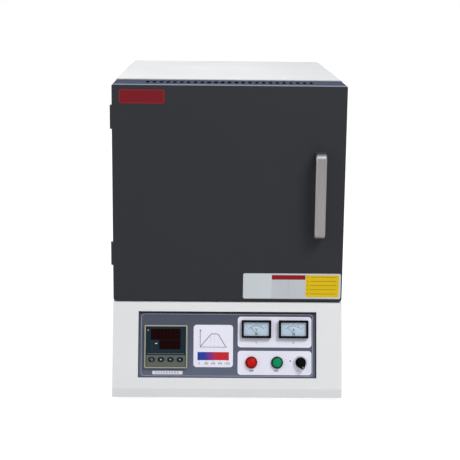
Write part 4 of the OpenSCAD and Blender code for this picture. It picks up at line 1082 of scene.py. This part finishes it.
class FURNACE_OT_panel(Making, bpy.types.Operator):
    """Finish the control panel's film, its plates and its printed line"""
    bl_idname = "furnace.panel"
    bl_label = "Control panel"

    def execute(self, context):
        give_finishes(PANEL_FINISHES)
        width = details().line_width / MM
        edges = [rounded(LINE_W - inset * 2, LINE_H - inset * 2, LINE_CORNER - inset) for inset in (0, width)]
        Shape().flat(edges, 0, HEAVY_INK).make(
            "panel_line", ["line_ink"], on_panel(LINE_PLACE), "cabinet", "label_white")
        # Painted shadow: a dark band round the recess's edge, widest under its top wall
        right, top = RECESS_W / 2 - SHADOW_GAP, RECESS_H / 2 - SHADOW_GAP
        edges = [rectangle(-right, -top, right, top),
                 rectangle(-right + SHADOW_SIDE, -top + SHADOW_FOOT, right - SHADOW_SIDE, top - SHADOW_HEAD)]
        Shape().flat(edges, 0, INK).make(
            "panel_edge_shadow", ["dark_ink"], on_panel((0, 0)), "cabinet", "panel_slate")
        marks = Shape()
        for text, place, size, number, weight in MARKS:
            marks.words(text, size, place, PLATE_TOP, number, weight)
        marks.ink(circle(DOT_MARK_RADIUS, DOT_MARK, 24), PLATE_TOP)
        marks.make("panel_marks", ["dark_ink", "grey_ink"], on_panel((0, 0)), "cabinet", "label_white")
        edges = [rounded(STRIP_W - less, STRIP_H - less, 1 - less / 4) for less in (0, 2 * STRIP_LINE)]
        strip = Shape().flat(edges, PLATE_TOP, PLATE_TOP + INK)
        for i in range(BLOCKS):
            left = BLOCK_START + BLOCK_PITCH * i
            strip.ink(rectangle(left, -BLOCK_H / 2, left + BLOCK_W, BLOCK_H / 2), PLATE_TOP, depth=FINE_INK)
        strip.make("strip_print", ["grey_ink"], on_panel(STRIP), "cabinet", "label_white")
        return {"FINISHED"}


class FURNACE_OT_graph(Making, bpy.types.Operator):
    """Print the plain temperature curve and its colour bar"""
    bl_idname = "furnace.graph"
    bl_label = "Graph plate"

    def execute(self, context):
        graph = Shape()

        def ink(outline, number=0, depth=HEAVY_INK):
            graph.ink(outline, PLATE_TOP, number, depth)

        left, foot, neck = GRAPH_LEFT, GRAPH_FOOT, GRAPH_HEAD - ARROW_H
        ink(band([(left, foot + AXIS_W / 2), (left, neck + 0.5)], AXIS_W))
        ink([(left, GRAPH_HEAD), (left - ARROW_REACH, neck), (left + ARROW_REACH, neck)])
        ink(band([(left - 1, foot), (GRAPH_RIGHT, foot)], FOOT_AXIS_W))
        ink(band(CURVE, CURVE_W), depth=CURVE_INK)
        for x, top in DASHED_LINES:
            for i in range(DASHES):
                high = top - 2 * DASH * i
                ink(rectangle(x - DASH_W / 2, high - DASH, x + DASH_W / 2, high), 1)
        for i in range(TICKS):
            x, y = left + 10 + TICK_PITCH_X * i, foot + 6 + TICK_PITCH_Y * i
            ink(rectangle(left - 4, y, left - 1, y + TICK_W), 1)
            ink(rectangle(x, foot - 3.5, x + TICK_W, foot - 0.9), 1)
        # Colour bar from cool to hot, with its scale below it
        ink(rectangle(-BAR_REACH, BAR_LOW, BAR_REACH, BAR_HIGH), 2)
        for i in range(BAR_NUMBERS):
            x = (i - (BAR_NUMBERS - 1) / 2) * NUMBER_PITCH
            graph.words(str(NUMBER_STEP * i), NUMBER_SIZE, (x, BAR_LOW - 7.5), PLATE_TOP)
            ink(rectangle(x - TICK_W / 2, BAR_LOW - 3.1, x + TICK_W / 2, BAR_LOW))
        graph.make("graph_print", ["dark_ink", "grey_ink", "cool_to_hot"], on_panel(GRAPH),
                   "cabinet", "label_white")
        return {"FINISHED"}


# Ends of a digit's seven segments, in millimetres from its middle
SEGMENTS = (((-2.6, 6), (2.6, 6)), ((3, 5.6), (3, 0.4)), ((3, -0.4), (3, -5.6)), ((-2.6, -6), (2.6, -6)),
            ((-3, -0.4), (-3, -5.6)), ((-3, 5.6), (-3, 0.4)), ((-2.6, 0), (2.6, 0)))
DIGITS = 4
DIGIT_LEAN = 0.12
SEGMENT_WIDTH = 1.15

# Controller in millimetres from its middle. Windows: width, height and middle, then their digits' first
# place, pitch and scale. Lamps and prints: width, height, corner, place, finish's number, thickness
WINDOWS = ((66.0, 24.0, (-0.5, 27.5), -25.0, 16.5, 1.45), (47.0, 20.0, (9.0, 4.5), -8.5, 11.8, 1.05))
KEY_STRIP_W, KEY_STRIP_H, KEY_STRIP_T = 86.0, 25.5, 0.1
PRINTS = (
    (4.4, 2.0, 0.6, (-31.0, 10.5), 0, 0.25),
    (4.4, 2.0, 0.6, (-31.0, 4.9), 0, 0.25),
    (4.4, 2.0, 0.6, (-31.0, -0.7), 0, 0.25),
    (5.5, 1.5, 0.4, (-21.5, 7.0), 1, HEAVY_INK),
    (82.0, 0.5, 0.2, (0.0, -15.5), 2, INK),
)
STATUS_LAMP, STATUS_LAMP_RADIUS, STATUS_LAMP_T = (-39.5, 36.5), 1.2, 0.2

# Outlines of the key symbols from left to right: a turning arrow, and arrows up, down and left
SYMBOLS = (
    (band(arc(1.8, -50, 210), 0.5), ((2.2, -2.2), (0.2, -1.2), (0.9, -2.8))),
    (((-1.7, -1.2), (1.7, -1.2), (0, 1.7)),),
    (((-1.7, 1.2), (0, -1.7), (1.7, 1.2)),),
    (((-1.7, 0), (1.1, 1.7), (1.1, -1.7)),),
)


def unlit_digit(shape, middle, scale):
    """The seven dim segments of an unlit digit, leaning a little."""
    for ends in SEGMENTS:
        path = [(middle[0] + scale * (x + DIGIT_LEAN * y), middle[1] + scale * y) for x, y in ends]
        shape.ink(band(path, SEGMENT_WIDTH * scale), WINDOW_TOP, depth=FINE_INK)


class FURNACE_OT_controller(Making, bpy.types.Operator):
    """Make the controller's windows, key strip, lamps and key symbols"""
    bl_idname = "furnace.controller"
    bl_label = "Controller"

    def execute(self, context):
        place = on_panel(CONTROLLER)
        windows, digits = Shape(), Shape()
        for width, height, middle, first, pitch, scale in WINDOWS:
            windows.flat([rounded(width, height, 1, middle)], FACE_TOP, WINDOW_TOP)
            for i in range(DIGITS):
                unlit_digit(digits, (first + pitch * i, middle[1]), scale)
        piece = windows.make("display_windows", ["display_window"], place, "cabinet",
                             "instrument_glass", bevel=0.3)
        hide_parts("instrument_windows")
        digits.make("display_digits", ["dim_segment"], place, "cabinet", "instrument_glass")
        corner = KEY_HOLE_H / 2 - 0.01
        holes = [rounded(KEY_HOLE_W, KEY_HOLE_H, corner, (x, KEY_ROW)) for x in KEY_COLUMNS]
        edge = rounded(KEY_STRIP_W, KEY_STRIP_H, 1, (0, KEY_ROW - 3))
        strip = Shape().flat([edge, *holes], FACE_TOP, FACE_TOP + KEY_STRIP_T)
        strip.make("key_strip", ["key_strip"], place, "cabinet", "controller_rim")
        lamps = Shape()
        for *outline, number, thickness in PRINTS:
            lamps.ink(rounded(*outline), FACE_TOP, number, thickness)
        lamps.ink(circle(STATUS_LAMP_RADIUS, STATUS_LAMP, 20), FACE_TOP, 1, STATUS_LAMP_T)
        lamps.make("controller_lamps", ["green_bezel", "white_ink", "grey_ink"], place, "cabinet",
                   "controller_navy")
        for i, (outlines, x) in enumerate(zip(SYMBOLS, KEY_COLUMNS)):
            symbol = Shape()
            for outline in outlines:
                symbol.ink(outline, KEY_TOP + 0.01)
            symbol.make(f"key_symbol_{i + 1}", ["symbol_ink"],
                        on_panel((CONTROLLER[0] + x, CONTROLLER[1] + KEY_ROW)), f"key_{i + 1}", "label_white")
        return {"FINISHED"}


def scale_marks(name, count, length, at):
    """Even marks along a meter's scale."""
    pattern = Pattern(name, "scale_marks", (), Count=count, Radius=SCALE_RADIUS + length / 2,
                      Length=length, Width=MARK_WIDTH)
    entry, start, end = pattern.entry, math.radians(SCALE_START), math.radians(SCALE_END)
    line = pattern.node("GeometryNodeCurveArc", Radius=entry["Radius"], Resolution=64,
                        Start_Angle=start, Sweep_Angle=end - start)
    even = pattern.node("GeometryNodeResampleCurve", Curve=line.outputs["Curve"], Count=entry["Count"])
    size = pattern.node("ShaderNodeCombineXYZ", entry["Width"], entry["Length"], DIAL_INK)
    mark = pattern.node("GeometryNodeMeshCube", Size=size.outputs[0])
    tangent = pattern.node("GeometryNodeInputTangent").outputs[0]
    turn = pattern.node("FunctionNodeAlignEulerToVector", Vector=tangent, axis="X", pivot_axis="Z")
    piece = pattern.build(even.outputs["Curve"], mark.outputs["Mesh"], turn.outputs[0], finish("dark_ink"))
    piece.data.transform(on_panel((at[0], at[1] + SCALE_MIDDLE[1]), DIAL_TOP + DIAL_INK / 2))
    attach(piece, "cabinet")


class FURNACE_OT_meters(Making, bpy.types.Operator):
    """Print the two meter scales and set their windows"""
    bl_idname = "furnace.meters"
    bl_label = "Meters"

    def execute(self, context):
        for label, at, unit, full in (("voltmeter", VOLTMETER, "V", 400), ("ammeter", AMMETER, "A", 40)):
            dial = Shape()
            line = arc(SCALE_RADIUS, SCALE_START, SCALE_END, SCALE_MIDDLE)
            dial.ink(band(line, SCALE_LINE), DIAL_TOP, 0, DIAL_INK)
            for i, place in enumerate(arc(NUMBER_RADIUS, SCALE_END, SCALE_START, SCALE_MIDDLE, 4)):
                dial.words(str(full * i // 4), DIAL_NUMBER, place, DIAL_TOP)
            dial.words(unit, DIAL_UNIT, (0, UNIT_RISE), DIAL_TOP, weight=UNIT_WEIGHT)
            for left in (-24, 14):
                line = rectangle(left, SMALL_PRINT_ROW, left + SMALL_PRINT_W, SMALL_PRINT_ROW + SMALL_PRINT_H)
                dial.ink(line, DIAL_TOP, 1, FINE_INK)
            dial.make(label + "_print", ["dark_ink", "grey_ink"], on_panel(at), "cabinet", "dial_paper")
            scale_marks(label + "_fine_marks", details().scale_marks, FINE_MARK, at)
            scale_marks(label + "_long_marks", LONG_MARKS, LONG_MARK, at)
            pane = Shape().flat([rounded(METER_PANE_W, METER_PANE_H, 0.4)], GLASS_LOW, GLASS_TOP)
            pane = pane.make(label + "_window", ["meter_window"], on_panel(at), "cabinet",
                             "instrument_glass", bevel=0.2)
            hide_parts("instrument_windows")
        return {"FINISHED"}


class FURNACE_OT_buttons(Making, bpy.types.Operator):
    """Make the push buttons' bezels"""
    bl_idname = "furnace.buttons"
    bl_label = "Button bezels"

    def execute(self, context):
        for name, at in (("red_bezel", RED_BUTTON), ("green_bezel", GREEN_BUTTON)):
            bezel = Shape().turned(BUTTON_BEZEL, 72)
            piece = bezel.make(name, [name], on_panel(at), "cabinet", "bezel_dark", smooth=28)
            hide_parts("button_bezels")
        return {"FINISHED"}


class FURNACE_OT_selector(Making, bpy.types.Operator):
    """Make the selector's knob with its skirt, its grip and its white mark, which is also a painted highlight
    """
    bl_idname = "furnace.selector"
    bl_label = "Selector"

    def execute(self, context):
        reach = details().knob_reach / MM
        place = on_panel(SELECTOR, 0, SELECTOR_REST)
        knob = Shape().turned(KNOB_STEM)
        knob.flat([pointer_outline(SKIRT_RADIUS, SKIRT_TIP, reach)], SKIRT_LOW, SKIRT_TOP)
        knob.flat([grip_outline(reach - GRIP_SHORTER)], GRIP_LOW, GRIP_TOP)
        piece = knob.make("selector_grip", ["knob_plastic"], place, "selector_knob", "knob_black",
                          smooth=40, bevel=0.9)
        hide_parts("selector_knob")
        # White pointer mark, set where it also serves as a painted highlight on the knob
        outline = rounded(SELECTOR_GLINT_MARK_W, SELECTOR_GLINT_MARK_H, 0.3, (reach - GLINT_MARK_BACK, 0))
        mark = Shape().ink(outline, GRIP_TOP, 0, HEAVY_INK)
        mark.make("selector_mark_and_glint", ["white_ink"], place, "selector_knob", "label_white")
        return {"FINISHED"}


class FURNACE_OT_stage(Making, bpy.types.Operator):
    """Set the pale floor, the soft studio light and the camera"""
    bl_idname = "furnace.stage"
    bl_label = "Stage"

    def execute(self, context):
        stage = context.scene.furnace_stage
        context.scene.view_settings.view_transform = "Standard"
        mesh = bpy.data.meshes.new("floor")
        corners = rectangle(-FLOOR_REACH, -FLOOR_REACH, FLOOR_REACH, FLOOR_REACH)
        mesh.from_pydata([(x, y, 0) for x, y in corners], [], [range(4)])
        mesh.materials.append(floor_finish().material)
        floor = placed("floor", mesh)
        set_world(context.scene)
        for name, (place, size, setting, share) in LAMPS.items():
            soft_light(name, place, size, getattr(stage, setting) * share)
        data = bpy.data.cameras.new("camera")
        data.lens = stage.lens
        data.sensor_width = SENSOR_WIDTH
        data.clip_end = CLIP_END
        camera = placed("camera", data)
        camera.matrix_world = camera_place(stage.yaw, stage.pitch, stage.roll)
        context.scene.camera = camera
        return {"FINISHED"}


def camera_place(yaw, pitch, roll):
    """The camera's place: a little above the furnace, looking down at its front."""
    look = Vector((math.sin(yaw) * math.cos(pitch), math.cos(yaw) * math.cos(pitch), -math.sin(pitch)))
    level = Vector((math.cos(yaw), -math.sin(yaw), 0))
    up = level.cross(look)
    right = level * math.cos(roll) + up * math.sin(roll)
    top = up * math.cos(roll) - level * math.sin(roll)
    return Matrix.Translation(CAMERA_PLACE) @ Matrix((right, top, -look)).transposed().to_4x4()


def soft_light(name, place, size, watts):
    data = bpy.data.lights.new(name, "AREA")
    data.shape = "DISK"
    data.size = size
    data.energy = watts
    light = placed(name, data)
    light.location = place
    light.rotation_euler = (LAMP_TARGET - Vector(place)).to_track_quat("-Z", "Y").to_euler()


def floor_finish():
    """Pale floor that looks white to the camera and in reflections, and keeps the shadow."""
    made = Finish("floor_paint", (0.60, 0.60, 0.60), 0.9, Emission_Color=(1, 1, 1, 1))
    made.shine(made.noise(3, 3), 0.85, 0.95)
    path = made.node("ShaderNodeLightPath").outputs
    seen = made.larger(path["Is Camera Ray"], path["Is Glossy Ray"])
    made.give(Emission_Strength=made.spread(seen, 0, 1, 0, FLOOR_GLOW))
    return made


def set_world(scene):
    """Even pale light all round, white where the camera or a reflection sees it."""
    world = bpy.data.worlds.new("studio")
    scene.world = world
    world.use_nodes = True
    made = Wiring(world.node_tree)
    path = made.node("ShaderNodeLightPath").outputs
    seen = made.larger(made.larger(path["Is Camera Ray"], path["Is Glossy Ray"]), path["Is Transmission Ray"])
    glow = made.nodes["Background"].inputs
    glow["Color"].default_value = (1, 1, 1, 1)
    made.feed(glow["Strength"], made.spread(seen, 0, 1, WORLD_DIM, WORLD_WHITE))


OPERATORS = (
    FURNACE_OT_cabinet, FURNACE_OT_chamber, FURNACE_OT_door, FURNACE_OT_rear, FURNACE_OT_handle,
    FURNACE_OT_door_plates, FURNACE_OT_hinge_screws, FURNACE_OT_panel, FURNACE_OT_graph,
    FURNACE_OT_controller, FURNACE_OT_meters, FURNACE_OT_buttons, FURNACE_OT_selector, FURNACE_OT_stage,
)
STEPS = [operator.bl_idname.split(".")[1] for operator in OPERATORS]


class FURNACE_PT_sidebar(bpy.types.Panel):
    """Settings and steps of the furnace"""
    bl_label = "Muffle furnace"
    bl_idname = "FURNACE_PT_sidebar"
    bl_space_type = "VIEW_3D"
    bl_region_type = "UI"
    bl_category = "Furnace"

    def draw(self, context):
        for group in ("furnace_colours", "furnace_details", "furnace_stage"):
            settings = getattr(context.scene, group)
            box = self.layout.box()
            for name in settings.__annotations__:
                box.prop(settings, name)
        for step in STEPS:
            self.layout.operator("furnace." + step)


CLASSES = (FurnaceColours, FurnaceDetails, FurnaceStage, *OPERATORS, FURNACE_PT_sidebar)


def register():
    for cls in CLASSES:
        bpy.utils.register_class(cls)
    bpy.types.Scene.furnace_colours = PointerProperty(type=FurnaceColours)
    bpy.types.Scene.furnace_details = PointerProperty(type=FurnaceDetails)
    bpy.types.Scene.furnace_stage = PointerProperty(type=FurnaceStage)


def unregister():
    del bpy.types.Scene.furnace_stage
    del bpy.types.Scene.furnace_details
    del bpy.types.Scene.furnace_colours
    for cls in reversed(CLASSES):
        bpy.utils.unregister_class(cls)


def main():
    register()
    for step in STEPS:
        getattr(bpy.ops.furnace, step)()


if __name__ == "__main__":
    main()
